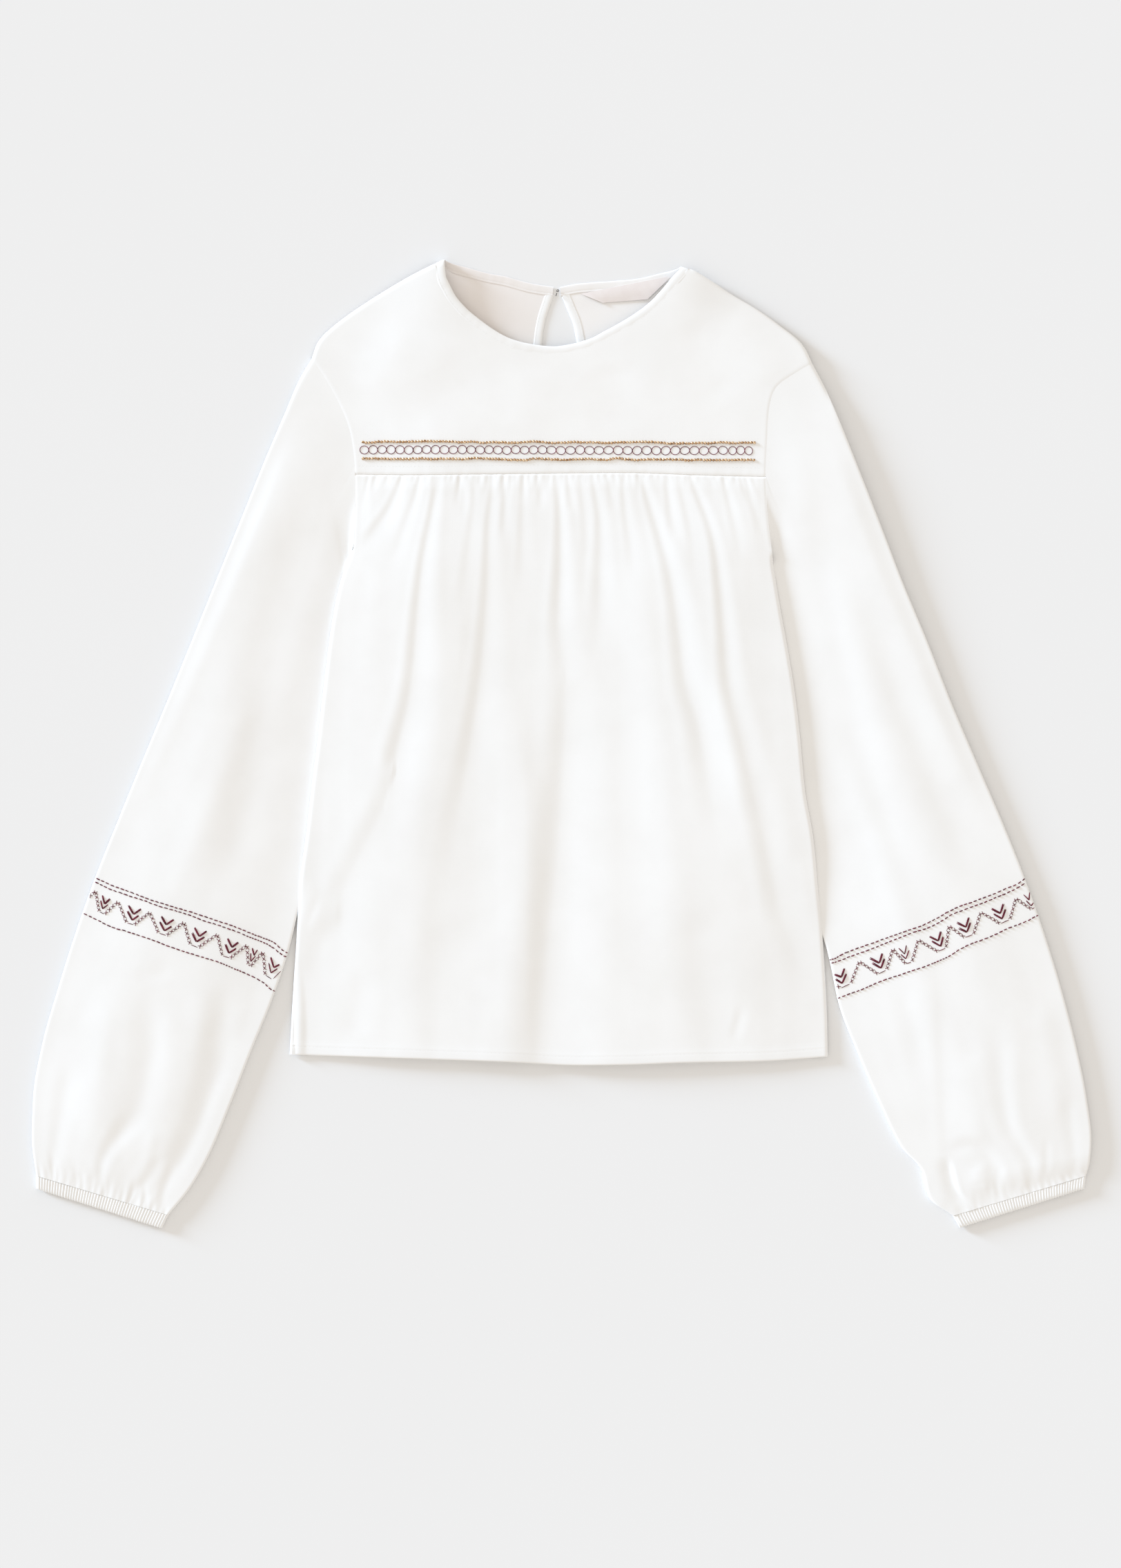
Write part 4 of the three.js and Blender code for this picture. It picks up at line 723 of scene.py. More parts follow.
class Bag:
    """Collects many small closed bodies into one mesh."""

    def __init__(self):
        self.v, self.f3, self.f4, self.n = [], [], [], 0

    def tube(self, line, radius, sides=6, flat=1.0):
        """A round-ended tube along a line of points; radius is a number or one for each point; flat < 1
        presses it flat."""
        p = np.asarray(line, float)
        r = np.full(len(p), radius) if np.ndim(radius) == 0 else np.asarray(radius, float)
        t = np.gradient(p, axis=0)
        t /= np.linalg.norm(t, axis=1)[:, None] + 1e-12
        up = np.array([0.0, 0.0, 1.0])
        side = np.cross(t, up)
        side /= np.linalg.norm(side, axis=1)[:, None] + 1e-12
        nrm = np.cross(side, t)
        a = np.linspace(0, 2 * math.pi, sides, endpoint=False)
        ring = (p[:, None, :] + r[:, None, None] * (np.cos(a)[None, :, None] * side[:, None, :]
                + flat * np.sin(a)[None, :, None] * nrm[:, None, :]))
        k, m = len(p), self.n
        self.v.append(ring.reshape(-1, 3))
        i = np.arange(k - 1)[:, None] * sides + np.arange(sides)[None, :]
        j = np.arange(k - 1)[:, None] * sides + (np.arange(sides)[None, :] + 1) % sides
        self.f4.append(np.stack([i, i + sides, j + sides, j], axis=-1).reshape(-1, 4) + m)
        ends = np.stack([p[0] - t[0] * r[0] * 0.5, p[-1] + t[-1] * r[-1] * 0.5])
        self.v.append(ends)
        e0, e1 = m + k * sides, m + k * sides + 1
        s = np.arange(sides)
        self.f3.append(np.stack([np.full(sides, e0), m + s, m + (s + 1) % sides], axis=-1))
        self.f3.append(np.stack([np.full(sides, e1), m + (k - 1) * sides + (s + 1) % sides, m + (k - 1) * sides + s], axis=-1))
        self.n += k * sides + 2

    def ring(self, centre, rx, ry, turn, radius, surf, sides=6, steps=26, lift=0.15, wob=0.0, phase=0.0):
        a = np.linspace(0, 2 * math.pi, steps, endpoint=False)
        k = 1 + wob * np.cos(2 * a + phase)
        x, y = rx * k * np.cos(a), ry * k * np.sin(a)
        c, s = math.cos(turn), math.sin(turn)
        P = np.stack([centre[0] + c * x - s * y, centre[1] + s * x + c * y, np.zeros(steps)], axis=1)
        for q in P:
            z, _ = surf(q[0], q[1])
            q[2] = (z if z is not None else 0) + lift
        t = np.roll(P, -1, axis=0) - np.roll(P, 1, axis=0)
        t /= np.linalg.norm(t, axis=1)[:, None]
        up = np.array([0.0, 0.0, 1.0])
        side = np.cross(t, up)
        side /= np.linalg.norm(side, axis=1)[:, None]
        nrm = np.cross(side, t)
        b = np.linspace(0, 2 * math.pi, sides, endpoint=False)
        V = P[:, None, :] + radius * (np.cos(b)[None, :, None] * side[:, None, :] + np.sin(b)[None, :, None] * nrm[:, None, :])
        i = np.arange(steps)[:, None] * sides + np.arange(sides)[None, :]
        j = np.arange(steps)[:, None] * sides + (np.arange(sides)[None, :] + 1) % sides
        up_i, up_j = (i + sides) % (steps * sides), (j + sides) % (steps * sides)
        self.f4.append(np.stack([i, up_i, up_j, j], axis=-1).reshape(-1, 4) + self.n)
        self.v.append(V.reshape(-1, 3))
        self.n += steps * sides

    def bead(self, centre, hx, hy, hz, turn, tilt=0.0, power=2.6, sides=14, levels=8):
        """A rounded, slightly square bead."""
        a = np.linspace(0, 2 * math.pi, sides, endpoint=False)
        b = np.linspace(-math.pi / 2, math.pi / 2, levels + 2)[1:-1]
        e = 2.0 / power
        sg = lambda q: np.sign(q) * np.abs(q) ** e
        ca, sa = sg(np.cos(a)), sg(np.sin(a))
        cb, sb = np.abs(np.cos(b)) ** (2.0 / 2.3), np.sign(np.sin(b)) * np.abs(np.sin(b)) ** (2.0 / 2.3)
        x, y = hx * cb[:, None] * ca[None, :], hy * cb[:, None] * sa[None, :]
        z = hz * np.repeat(sb[:, None], sides, axis=1) + tilt * x
        c, s = math.cos(turn), math.sin(turn)
        V = np.stack([centre[0] + c * x - s * y, centre[1] + s * x + c * y, centre[2] + z], axis=-1).reshape(-1, 3)
        m = self.n
        i = np.arange(levels - 1)[:, None] * sides + np.arange(sides)[None, :]
        j = np.arange(levels - 1)[:, None] * sides + (np.arange(sides)[None, :] + 1) % sides
        self.f4.append(np.stack([i, j, j + sides, i + sides], axis=-1).reshape(-1, 4) + m)
        self.v.append(V)
        self.v.append(np.array([[centre[0], centre[1], centre[2] - hz], [centre[0], centre[1], centre[2] + hz]]))
        n0 = m + levels * sides
        q = np.arange(sides)
        self.f3.append(np.stack([np.full(sides, n0), m + (q + 1) % sides, m + q], axis=-1))
        top = m + (levels - 1) * sides
        self.f3.append(np.stack([np.full(sides, n0 + 1), top + q, top + (q + 1) % sides], axis=-1))
        self.n += levels * sides + 2

    def build(self, name, mat):
        return make_mesh(name, np.concatenate(self.v), [np.concatenate(g) for g in (self.f3, self.f4) if g], mat, sharp=0)


def edged(length, fine, n):
    """Positions from 0 to length: fine ones at both ends, n more evenly between them."""
    fine = np.asarray(fine, float)
    mid = np.linspace(fine[-1], length - fine[-1], n + 2)[1:-1]
    return np.concatenate([fine, mid, (length - fine)[::-1]])


# ------------------------------------------------------------------ front yoke
def at_x(line, x):
    return np.interp(x, line[:, 0], line[:, 1])


front_neck_in = offset(curve(NECK_FRONT, 1.0), -4.2)[2:-2]
yoke_top_line = np.concatenate([shoulder_a[shoulder_a[:, 0] < -97.6], [[-95.0, 361.9], [-94.5, 360.6]],
                                front_neck_in[(front_neck_in[:, 0] > -94) & (front_neck_in[:, 0] < 94)],
                                [[95.0, 357.6], [96.4, 358.0]], shoulder_b[::-1][shoulder_b[::-1][:, 0] > 100.4]])
order = np.argsort(yoke_top_line[:, 0])
yoke_top_line = yoke_top_line[order]


def coons(top_line, us, vs, left, right, bottom):
    """A grid between a top line (by x), two side lines (by arc length) and a bottom line (by u)."""
    T = np.stack([us[1] , at_x(top_line, us[1])], axis=-1)
    u = us[0]
    B = bottom(u)
    L, Rr = at_fraction(left, vs), at_fraction(right, vs)
    U, V = np.meshgrid(u, vs)
    U, V = U[..., None], V[..., None]
    return ((1 - V) * T[None] + V * B[None] + (1 - U) * L[:, None] + U * Rr[:, None]
            - ((1 - U) * (1 - V) * T[0] + U * (1 - V) * T[-1] + (1 - U) * V * B[0] + U * V * B[-1]))


YR_A, YR_B = (-155.3, 203.8), (153.5, 201.8)
arm_up_a, arm_up_b = arm_a[arm_a[:, 1] >= 203.8 - 0.5], arm_b[arm_b[:, 1] >= 201.8 - 0.5]
arm_up_a = np.vstack([arm_up_a[:-1], YR_A])
arm_up_b = np.vstack([arm_up_b[:-1], YR_B])


def yoke():
    x0, x1 = -187.75, 188.55
    fine = [0, 0.45, 0.95, 1.6, 2.6]
    xs = x0 + edged(x1 - x0, fine, 212)
    xs = np.unique(np.round(np.concatenate([xs, [-95.0, -94.5, 95.0, 96.4]]), 4))
    us = (xs - x0) / (x1 - x0)
    vs = edged(150, [0, 0.14, 0.5, 1.0, 1.7, 2.8], 84) / 150
    bx = lambda u: -155.25 + u * (153.45 + 155.25)
    bottom = lambda u: np.stack([bx(u), seam_y(bx(u)) + 0.05], axis=-1)
    g = coons(yoke_top_line, (us, xs), vs, arm_up_a, arm_up_b, bottom)
    x, y = g[..., 0], g[..., 1]
    z = arm_dip(yoke_top(x, y), x, y)
    return grid_shell("yoke_cloth", np.dstack([x, y, z]), THICK, COTTON, sharp=60)


# ------------------------------------------------------------------ body rows below the yoke seam
def body_grid(us, vs, inset=0.0, seam_gap=0.0):
    yl, yr = 203.8 + vs * (-233.5 - 203.8), 201.8 + vs * (-235.0 - 201.8)
    lx, rx = left_of(yl), right_of(yr)
    below = lambda y, low: inset * smooth((low - y) / 10)
    lx, rx = lx + below(yl, arm_low_a), rx - below(yr, arm_low_b)
    U, V = np.meshgrid(us, vs)
    X = lx[:, None] + (rx - lx)[:, None] * U
    sx = YR_A[0] + (YR_B[0] - YR_A[0]) * U
    hx = SIDE_A[-1][0] + (SIDE_B[-1][0] - SIDE_A[-1][0]) * U
    Y = (1 - V) * (seam_y(sx) - seam_gap) + V * hem_y(hx)
    return X, Y


def front():
    fine = np.array([0, 0.12, 0.45, 0.95, 1.6, 2.4, 3.4])
    us = edged(354.0, fine, 262) / 354.0
    near = np.concatenate([np.linspace(0, 24, 28), 24 + np.cumsum(np.linspace(0.95, 3.4, 22))])
    rest = np.linspace(near[-1], 437.5 - 9, 104)[1:]
    low = 437.5 - np.array([8.2, 7.4, 6.8, 6.2, 5.4, 4.2, 2.8, 1.5, 0.6, 0.15, 0.0])
    vs = np.concatenate([[-2.2, -1.4, -0.7], near, rest, low]) / 437.5
    X, Y = body_grid(us, vs, 0, 0.0)
    Z = front_top(X, Y)
    Z = np.where(Y > 148, arm_dip(Z, X, Y), Z)
    # below the underarm the edge turns down and closes over the back panel's edge
    base = back_low(X, Y) + 0.1
    l, r = X - left_of(Y), right_of(Y) - X
    for d, low_y in ((l, arm_low_a), (r, arm_low_b)):
        k = (1 - np.clip(d / 3.0, 0, 1)) * smooth((low_y - Y - 1) / 11)
        Z = base + (Z - base) * roll(k)
    # hem: rounded fold
    h = np.maximum(Y - hem_y(X), 0)
    k = 1 - np.clip(h / 1.0, 0, 1)
    Z = Z - 0.45 * (1 - np.sqrt(np.maximum(1 - k * k, 0)))
    hem = 0.45 * smooth((8.6 - h) / 1.6)
    return grid_shell("front_cloth", np.dstack([X, Y, Z]), THICK + hem, COTTON, sharp=65)


# ------------------------------------------------------------------ back panel
back_neck = curve(NECK_BACK, 1.0)
back_neck_in = offset(back_neck, -4.2)
back_top_line = np.concatenate([shoulder_a[shoulder_a[:, 0] < -99] - [0, 1.5], [[-95.0, 358.0]],
                                back_neck_in[(back_neck_in[:, 0] > -90) & (back_neck_in[:, 0] < 90)],
                                [[96.5, 354.0]], shoulder_b[::-1][shoulder_b[::-1][:, 0] > 101] - [0, 1.5]])
back_top_line = back_top_line[np.argsort(back_top_line[:, 0])]


def keyhole_line(out=0.0, step=0.8):
    """The keyhole's outline from its upper left end down and up to its upper right end."""
    d = np.array([k[0] for k in KEYHOLE])
    h = np.array([k[1] for k in KEYHOLE])
    left = np.stack([slit_mid(d) - h, NECK_Y - d], axis=1)
    right = np.stack([slit_mid(d) + h, NECK_Y - d], axis=1)[::-1][1:]
    c = curve(np.concatenate([left, right]), step)
    return offset(c, -out) if out else c


BACK_CREASES = [
    F(path=[(-118, 210), (-132, 120), (-150, 20)], depth=-0.8, left=12, right=12, flank=0),
    F(path=[(-60, 190), (-66, 60), (-84, -80), (-96, -200)], depth=-0.9, left=14, right=18, flank=0),
    F(path=[(14, 160), (10, 20), (2, -110), (-6, -230)], depth=-0.8, left=16, right=14, flank=0),
    F(path=[(92, 180), (104, 40), (118, -90), (132, -210)], depth=-0.9, left=14, right=16, flank=0),
    F(path=[(-30, 262), (-62, 282), (-104, 300)], depth=-0.5, left=9, right=9, flank=0),
    F(path=[(30, 262), (66, 286), (108, 302)], depth=-0.5, left=9, right=9, flank=0),
    F(path=[(50, 230), (62, 200), (66, 150)], depth=-0.5, left=7, right=9, flank=0),
    F(path=[(-128, 250), (-112, 226), (-104, 190)], depth=-0.5, left=8, right=8, flank=0),
]


def back():
    x0, x1 = -187.4, 188.2
    xs = x0 + edged(x1 - x0, [0, 0.8, 2.0, 4.2], 104)
    us = (xs - x0) / (x1 - x0)
    vu = edged(150, [0, 0.8, 2.0, 4.2], 44) / 150
    bx = lambda u: YR_A[0] + 0.05 + u * (YR_B[0] - YR_A[0] - 0.1)
    g = coons(back_top_line, (us, xs), vu, arm_up_a + [0.05, 0], arm_up_b - [0.05, 0],
              lambda u: np.stack([bx(u), seam_y(bx(u))], axis=-1))
    low_v = np.concatenate([np.linspace(0, 437.5 - 9.5, 110)[1:], 437.5 - np.array([8.2, 7.2, 6.6, 6.0, 5.0, 2.8, 1.0, 0.2, 0.0])]) / 437.5
    X, Y = body_grid(us, low_v, 1.5)
    X = np.concatenate([g[..., 0], X])
    Y = np.concatenate([g[..., 1], Y])
    # the keyhole: cells inside it are left out and the others' corners drawn to its outline
    hole = keyhole_line(2.9)
    top_y = NECK_Y - 3.0

    def inside(x, y):
        d = NECK_Y - y
        half = np.interp(y, hole[:len(hole) // 2][::-1, 1], (hole[:len(hole) // 2][::-1, 0] - slit_mid(NECK_Y - hole[:len(hole) // 2][::-1, 1])) * -1, left=0, right=5.0)
        return (np.abs(x - slit_mid(d)) < half) & (y > hole[:, 1].min())
    cx = (X[:-1, :-1] + X[1:, :-1] + X[1:, 1:] + X[:-1, 1:]) / 4
    cy = (Y[:-1, :-1] + Y[1:, :-1] + Y[1:, 1:] + Y[:-1, 1:]) / 4
    have = ~inside(cx, cy)
    used = np.zeros(X.shape, bool)
    used[:-1, :-1] |= have
    used[1:, :-1] |= have
    used[1:, 1:] |= have
    used[:-1, 1:] |= have
    border = np.zeros(X.shape, bool)
    gone = ~have
    border[:-1, :-1] |= gone
    border[1:, :-1] |= gone
    border[1:, 1:] |= gone
    border[:-1, 1:] |= gone
    k = np.argwhere(border & used & (Y < top_y))
    for r, c in k:
        d = np.hypot(hole[:, 0] - X[r, c], hole[:, 1] - Y[r, c])
        i = d.argmin()
        if d[i] < 4:
            X[r, c], Y[r, c] = hole[i]
    Z = back_low(X, Y) + THICK + 0.03
    rise = np.zeros(X.shape)
    for f in BACK_CREASES:
        rise += crease(X, Y, **f)
    rise += 0.12 * (1 + noise(X, Y, 26, 60, 21))
    # beside the bindings the cloth runs in half way up their thickness
    dn = nearest(back_neck[::4], X, Y)[0]
    dk = nearest(keyhole_line()[::4], X, Y)[0]
    band = np.maximum(1 - smooth((dn - NECK_BAND) / 6), 1 - smooth((dk - SLIT_BAND) / 6))
    Z = Z + rise * (1 - band) + 0.06 * band + BACK_LIFT * neck_lift(X, Y, 26.0)
    Z = Z + np.where(Y > 200, shoulder_lift(X, Y), 0)
    h = np.maximum(Y - hem_y(X), 0)
    hem = 0.4 * smooth((8.4 - h) / 0.8)
    Z = Z + hem - 0.25 * np.exp(-((h - 6.4) / 0.6) ** 2)
    d = np.minimum(nearest(arm_a[::3], X, Y)[0], nearest(arm_b[::3], X, Y)[0])
    Z = Z - 0.18 * np.exp(-(d / 1.2) ** 2) * (Y > 140)
    return grid_shell("back_cloth", np.dstack([X, Y, Z]), THICK + hem, INSIDE, present=have, sharp=60, floor=0.01)


# ------------------------------------------------------------------ sleeves and cuffs
RHO_OUT, RHO_IN = 1.7, 1.6
ARC = np.array([0.0, 0.05, 0.22, 0.55, 1.0, 1.6, 2.8])    # distances in from a folded edge

SLEEVE_FOLDS_A = [
    F(path=[(-190, 262), (-220.1, 197.1), (-272.1, 93.1), (-315.2, 7.3), (-338, -60)], depth=-1.1, left=16, right=12, flank=0),
    F(path=[(-172, 236), (-195, 170), (-222.0, 90.0), (-238, 10), (-252.1, -70.8), (-272, -134)], depth=1.5, left=17, right=17, flank=.1),
    F(path=[(-240, 60), (-262, -20), (-286, -88), (-300, -120)], depth=-0.8, left=14, right=14, flank=0),
    F(path=[(-319.9, -176), (-315.0, -210), (-314.2, -232.4), (-325.7, -278.7), (-340, -300)], depth=1.7, left=9, right=10, stops=(0, .3, .8, 1), shape=(0, .8, 1, .4)),
    F(path=[(-325.7, -278.7), (-332.3, -288.2), (-341.7, -301.1), (-346.9, -312.3), (-348.6, -324.4), (-349.5, -332)], depth=1.9, left=(6, 2.6), right=(6, 2.6), stops=(0, .3, .8, 1), shape=(.3, 1, 1, 1)),
    F(path=[(-371.9, -236), (-378, -270), (-383.4, -306.8), (-386, -322)], depth=1.1, left=(8, 4), right=(7, 3), shape=(0, .9, 1, .5)),
    F(path=[(-258.6, -170), (-262.2, -232.4), (-277.3, -288.1), (-296, -322), (-303.3, -346)], depth=1.5, left=9, right=8, stops=(0, .25, .8, 1), shape=(0, .9, 1, .7)),
    F(path=[(-292.4, -165.4), (-306, -170), (-322.0, -172.6)], depth=0.9, left=4, right=6),
    F(path=[(-271.6, -167.4), (-288.2, -241.8), (-306.9, -306.8), (-313, -330)], depth=-1.1, left=10, right=10, flank=0),
    F(path=[(-345, -170), (-352, -230), (-360, -280), (-366, -316)], depth=-1.0, left=10, right=11, flank=0),
    F(path=[(-302.1, -305.4), (-311.6, -324.4), (-322.8, -336.4), (-326.2, -344.2)], depth=1.5, left=(4.5, 3), right=(4, 2.6), shape=(0, 1, 1, 1)),
    F(path=[(-292.6, -311.4), (-297.8, -326.1), (-302.9, -346.8)], depth=1.2, left=(3.5, 2.4), right=(3.5, 2.4), shape=(0, 1, 1, 1)),
    F(path=[(-308.1, -284.7), (-315.9, -312.3), (-333.1, -336.4)], depth=-1.1, left=5, right=5, flank=0),
    F(path=[(-303.8, -329.6), (-309, -341), (-315.0, -349.4)], depth=-1.0, left=3.4, right=3.4, flank=0, shape=(0, 1, 1, .6)),
    F(path=[(-361.6, -319.7), (-364.2, -332.4)], depth=1.1, left=2.0, right=2.4, shape=(0, 1, 1, 1)),
    F(path=[(-353.8, -323.1), (-357, -330), (-360.0, -336.0)], depth=1.1, left=2.0, right=2.4, shape=(0, 1, 1, 1)),
    F(path=[(-381.4, -309.7), (-385.7, -322.2)], depth=0.8, left=2.6, right=2.6, shape=(0, 1, 1, .8)),
    F(path=[(-232, -196), (-246, -230), (-262, -266)], depth=0.8, left=6, right=7),
]
SLEEVE_FOLDS_B = [
    F(path=[(196, 250), (216, 170), (244, 90), (280, 0), (310, -70)], depth=-1.2, left=16, right=14, flank=0),
    F(path=[(176, 232), (188, 150), (206, 60), (226, -30), (250, -110)], depth=1.0, left=12, right=12, flank=.1),
    F(path=[(214, 120), (246, 40), (282, -46), (312, -118)], depth=1.2, left=17, right=15, flank=.1),
    F(path=[(206, 10), (223.5, -46.8), (247, -130), (271.8, -208.0), (279, -250)], depth=-1.1, left=11, right=11, flank=0),
    F(path=[(318, -190), (323.8, -223.1), (328.0, -260.0), (334.1, -289.5), (342.4, -303.4), (348.9, -312.7), (351.7, -324.8), (351.9, -338)], depth=2.0, left=(8, 3.2), right=(9, 3.4), stops=(0, .3, .8, 1), shape=(0, .7, 1, 1)),
    F(path=[(345.2, -317), (350.8, -326.6), (349.9, -337)], depth=0.9, left=1.6, right=1.6, shape=(0, 1, 1, .6)),
    F(path=[(377.9, -262), (380, -284), (383.6, -306.8), (384.2, -318)], depth=1.0, left=(6, 3.4), right=(6, 3.4), shape=(0, .9, 1, .6)),
    F(path=[(362.9, -293), (363.6, -315), (363.4, -334.6)], depth=1.3, left=(3, 2), right=(2.6, 1.9), shape=(0, .9, 1, 1)),
    F(path=[(281.2, -158), (283, -210), (286.9, -288.1), (289.0, -314.1)], depth=0.9, left=7, right=4, shape=(0, .7, 1, .5)),
    F(path=[(387.9, -308), (383.3, -326)], depth=0.9, left=2.0, right=2.0, shape=(0, 1, 1, .8)),
    F(path=[(395.4, -316), (393.2, -327)], depth=0.7, left=1.6, right=1.6, shape=(0, 1, 1, .8)),
    F(path=[(328.5, -314), (327.9, -330), (327.6, -347.2)], depth=1.2, left=2.8, right=2.4, shape=(0, 1, 1, 1)),
    F(path=[(313.7, -312), (313.7, -324.8), (316, -338)], depth=-0.9, left=5, right=5, flank=0),
    F(path=[(300, -230), (306, -270), (308, -310)], depth=-0.8, left=9, right=9, flank=0),
    F(path=[(352, -190), (362, -240), (368, -290)], depth=-0.9, left=10, right=9, flank=0),
    F(path=[(284.6, -309), (287.8, -322.9), (290.9, -335.4), (297.9, -347.9)], depth=8, left=(1.8, 2.2), right=(8, 9), stops=(0, .35, .8, 1), shape=(0, 1, 1, .4), flank=.06),
    F(path=[(276, -334), (281, -345), (288, -350)], depth=-1.3, left=4.5, right=4.5, flank=0),
    F(path=[(308.5, -319), (309.5, -331)], depth=-1.5, left=4.5, right=5, shape=(.3, 1, 1, .3), flank=0),
    F(path=[(292, -313), (300, -305.5), (313, -306), (322, -316), (324, -330), (320, -344)], depth=1.6, left=4.5, right=4.5, shape=(0, 1, 1, .5)),
    F(path=[(340, -330), (338, -344)], depth=0.9, left=1.8, right=1.8, shape=(0, 1, 1, .9)),
    F(path=[(250, -180), (262, -220), (270, -258)], depth=0.8, left=6, right=7),
]


def sleeve(name, table, arm, folds, mat, seed):
    t = np.array(table, float)
    mid = (t[:, 0:2] + t[:, 2:4]) / 2
    s = lengths(mid)
    ox, oy, ix, iy, cv, tk, ar = [pchip(s, t[:, k]) for k in range(7)]
    total = s[-1]
    st = np.concatenate([[0, 0.45, 0.95, 1.6, 2.6, 4.0], np.arange(6, total - 70, 2.9), np.linspace(total - 69, total - 1.2, 44), [total - 0.5, total]])
    n_top, n_low = 70, 26
    arm_u = resample(arm, 1.0)
    bulge_s = lengths(arm_u) / lengths(arm_u)[-1]
    bulge = arm_u - (arm_u[0] + (arm_u[-1] - arm_u[0]) * bulge_s[:, None])
    rings_o, rings_i = [], []
    x_all, y_all, base_all, rel_k, edge_k, down_k, tuck_k, mid_k, under_k, run_k = [], [], [], [], [], [], [], [], [], []
    air_w = 90 if table is SLEEVE_B else 60
    for q in st:
        O, I = np.array([ox(q), oy(q)]), np.array([ix(q), iy(q)])
        L = np.linalg.norm(I - O)
        e = (I - O) / L
        dt = edged(L, ARC, n_top)
        dl = edged(L, ARC, n_low)[1:-1][::-1]
        d = np.concatenate([dt, dl])
        f = d / L
        p = O + d[:, None] * e + float(cv(q)) * np.stack([np.interp(f, bulge_s, bulge[:, k]) for k in (0, 1)], axis=1)
        fo, fi = d, L - d
        past = fi - float(tk(q)) - 2
        out_of_tuck = smooth(past / 95)
        if table is SLEEVE_B:
            out_of_tuck = 0.5 * smooth(past / 135) + 0.5 * np.sin(0.5 * math.pi * np.clip(past / 135, 0, 1))
        free = float(smooth((q - s[8]) / (s[10] - s[8])))
        near_h = 3.0 + 1.1 * free                       # beside the inner edge: low where the body lies over it
        far_h = (5.2 + 2.8 * float(1 - smooth(q / 300))) if table is SLEEVE_B else 4.7 + 0.4 * float(1 - smooth(q / 180))
        H = near_h + (far_h - near_h) * out_of_tuck + float(ar(q)) * SLEEVE_AIR * smooth(fo / 60) * smooth((fi - float(tk(q)) - 2) / air_w)
        inner = float(smooth(q / 12))
        c = np.maximum(1 - np.clip(fo / RHO_OUT, 0, 1), inner * (1 - np.clip(fi / RHO_IN, 0, 1)))
        x_all.append(p[:, 0]); y_all.append(p[:, 1]); base_all.append(H)
        rel_k.append(smooth((fo - 1) / 14) * smooth((fi - float(tk(q)) - 5) / 14))
        edge_k.append(np.where(np.arange(len(d)) < len(dt), 1, -1))
        down_k.append(np.stack([c, np.where(fo < fi, 1.0, -1.0) * e[0], np.where(fo < fi, 1.0, -1.0) * e[1]], axis=1))
        tuck_k.append(smooth((float(tk(q)) + 0.8 - fi) / 1.2))
        run_k.append(22 + 48 * smooth((fi - float(tk(q)) - 10) / 60))
        # middle height of the folded edges, and how far the underside near them stands off
        start = 2.05 if table is SLEEVE_A else 4.2
        zo = start + (far_h - 1.3 - start) * float(smooth(q / 30)) - 0.7 * float(smooth((q - total + 30) / 30))
        zi = 1.35 + 1.35 * free - 0.3 * float(smooth((q - total + 30) / 30))
        mid_k.append(np.where(fo < fi, zo, zi))
        under_k.append(np.maximum(zo * (1 - smooth(fo / 28)), (zi - 1.35) * (1 - smooth(fi / 22))) - 1.2)
    X, Y, H = map(np.array, (x_all, y_all, base_all))
    rk, is_top, D = np.array(rel_k), np.array(edge_k) > 0, np.array(down_k)
    Q = np.repeat(st[:, None], X.shape[1], axis=1)
    rel = np.zeros(X.shape)
    for f in folds:
        rel += crease(X, Y, **f)
    turned = Q * 1.0
    across = nearest(np.stack([ox(st), oy(st)], axis=1)[::6], X, Y)[0]
    rel += 0.085 * noise(across, turned, 22, 300, seed) + 0.03 * noise(across, turned, 11, 160, seed + 1) + 0.01 * noise(across, turned, 7, 11, seed + 2)
    # puckers where the cuff draws the sleeve in
    g = np.random.default_rng(seed + 7)
    pos = 3.0
    to_cuff = total - Q
    while pos < 104:
        w, depth, run, lean = g.uniform(0.9, 1.7), g.uniform(0.25, 0.62), g.uniform(8, 26), g.normal(0, 0.10)
        fade = np.clip(1 - to_cuff / run, 0, 1)
        rel -= 0.8 * depth * fade * fade * (3 - 2 * fade) * np.exp(-((across - pos - lean * to_cuff) / (w * (1 + to_cuff / 14))) ** 2)
        pos += g.uniform(2.6, 6.5)
    rel += 0.2 * np.exp(-((to_cuff - 10) / 8) ** 2)
    top = H + np.where(H - 1.9 + rel < 0, -(H - 1.9), rel) * rk
    room = np.maximum(H - 1.9, 0.05)
    sink = np.maximum(-rel * rk, 0)
    top = np.where(rel < 0, H - room * np.tanh(sink / room), H + rel * rk)
    # the cuff draws the end of the sleeve together
    k = smooth(to_cuff / 22)
    top = (CUFF_H + 0.45 + 0.8 * np.clip(rel, -0.9, 0.7)) * (1 - k) + top * k
